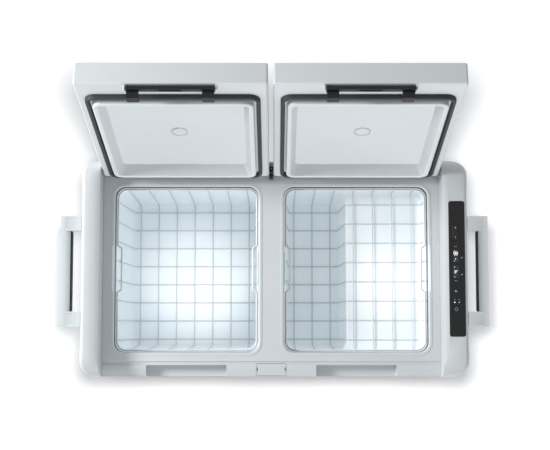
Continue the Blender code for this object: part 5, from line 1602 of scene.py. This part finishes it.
class COOLER_OT_lids(bpy.types.Operator):
    """Build the lids: covers, mouldings, seals, plugs and screws"""

    bl_idname = "cooler.lids"
    bl_label = "Lids"

    def execute(self, context):
        make_lids()
        return {"FINISHED"}


class COOLER_OT_latches(bpy.types.Operator):
    """Build the two bar latches"""

    bl_idname = "cooler.latches"
    bl_label = "Latches"

    def execute(self, context):
        make_latches()
        return {"FINISHED"}


class COOLER_OT_hinge(bpy.types.Operator):
    """Build the hinge bracket between the lids"""

    bl_idname = "cooler.hinge"
    bl_label = "Hinge bracket"

    def execute(self, context):
        make_hinge_bracket()
        return {"FINISHED"}


class COOLER_OT_panel(bpy.types.Operator):
    """Build the control panel with its buttons, digits and signs"""

    bl_idname = "cooler.panel"
    bl_label = "Control panel"

    def execute(self, context):
        make_panel()
        return {"FINISHED"}


class COOLER_OT_handles(bpy.types.Operator):
    """Build the carry handles and their ribbed grips"""

    bl_idname = "cooler.handles"
    bl_label = "Handles"

    def execute(self, context):
        make_handles()
        return {"FINISHED"}


class COOLER_OT_walls(bpy.types.Operator):
    """Build the walls, base, feet, grille and inlets"""

    bl_idname = "cooler.walls"
    bl_label = "Walls and base"

    def execute(self, context):
        make_walls()
        make_grille()
        return {"FINISHED"}


class COOLER_OT_stage(bpy.types.Operator):
    """Set the floor, the lights and the camera"""

    bl_idname = "cooler.stage"
    bl_label = "Studio stage"

    def execute(self, context):
        make_stage()
        return {"FINISHED"}


OPERATORS = (
    COOLER_OT_finishes, COOLER_OT_rails, COOLER_OT_deck, COOLER_OT_liners, COOLER_OT_baskets, COOLER_OT_lids,
    COOLER_OT_latches, COOLER_OT_hinge, COOLER_OT_panel, COOLER_OT_handles, COOLER_OT_walls, COOLER_OT_stage,
)


class COOLER_PT_panel(bpy.types.Panel):
    """Lists the settings and the steps in their order"""

    bl_idname = "COOLER_PT_panel"
    bl_label = "Cooler fridge"
    bl_space_type = "VIEW_3D"
    bl_region_type = "UI"
    bl_category = "Cooler fridge"

    def draw(self, context):
        for name in SETTINGS:
            group = getattr(context.scene, name)
            box = self.layout.box()
            for key in group.bl_rna.properties.keys():
                if key not in ("rna_type", "name"):
                    box.prop(group, key)
        for operator in OPERATORS:
            self.layout.operator(operator.bl_idname)


SETTINGS = {"cooler_sizes": CoolerSizes, "cooler_colours": CoolerColours, "cooler_light": CoolerLight}
CLASSES = (*SETTINGS.values(), *OPERATORS, COOLER_PT_panel)


def register():
    for item in CLASSES:
        bpy.utils.register_class(item)
    for name, group in SETTINGS.items():
        setattr(bpy.types.Scene, name, bpy.props.PointerProperty(type=group))


def unregister():
    for name in SETTINGS:
        delattr(bpy.types.Scene, name)
    for item in reversed(CLASSES):
        bpy.utils.unregister_class(item)


def main():
    register()
    for operator in OPERATORS:
        getattr(bpy.ops.cooler, operator.bl_idname.split(".")[1])()


if __name__ == "__main__":
    main()
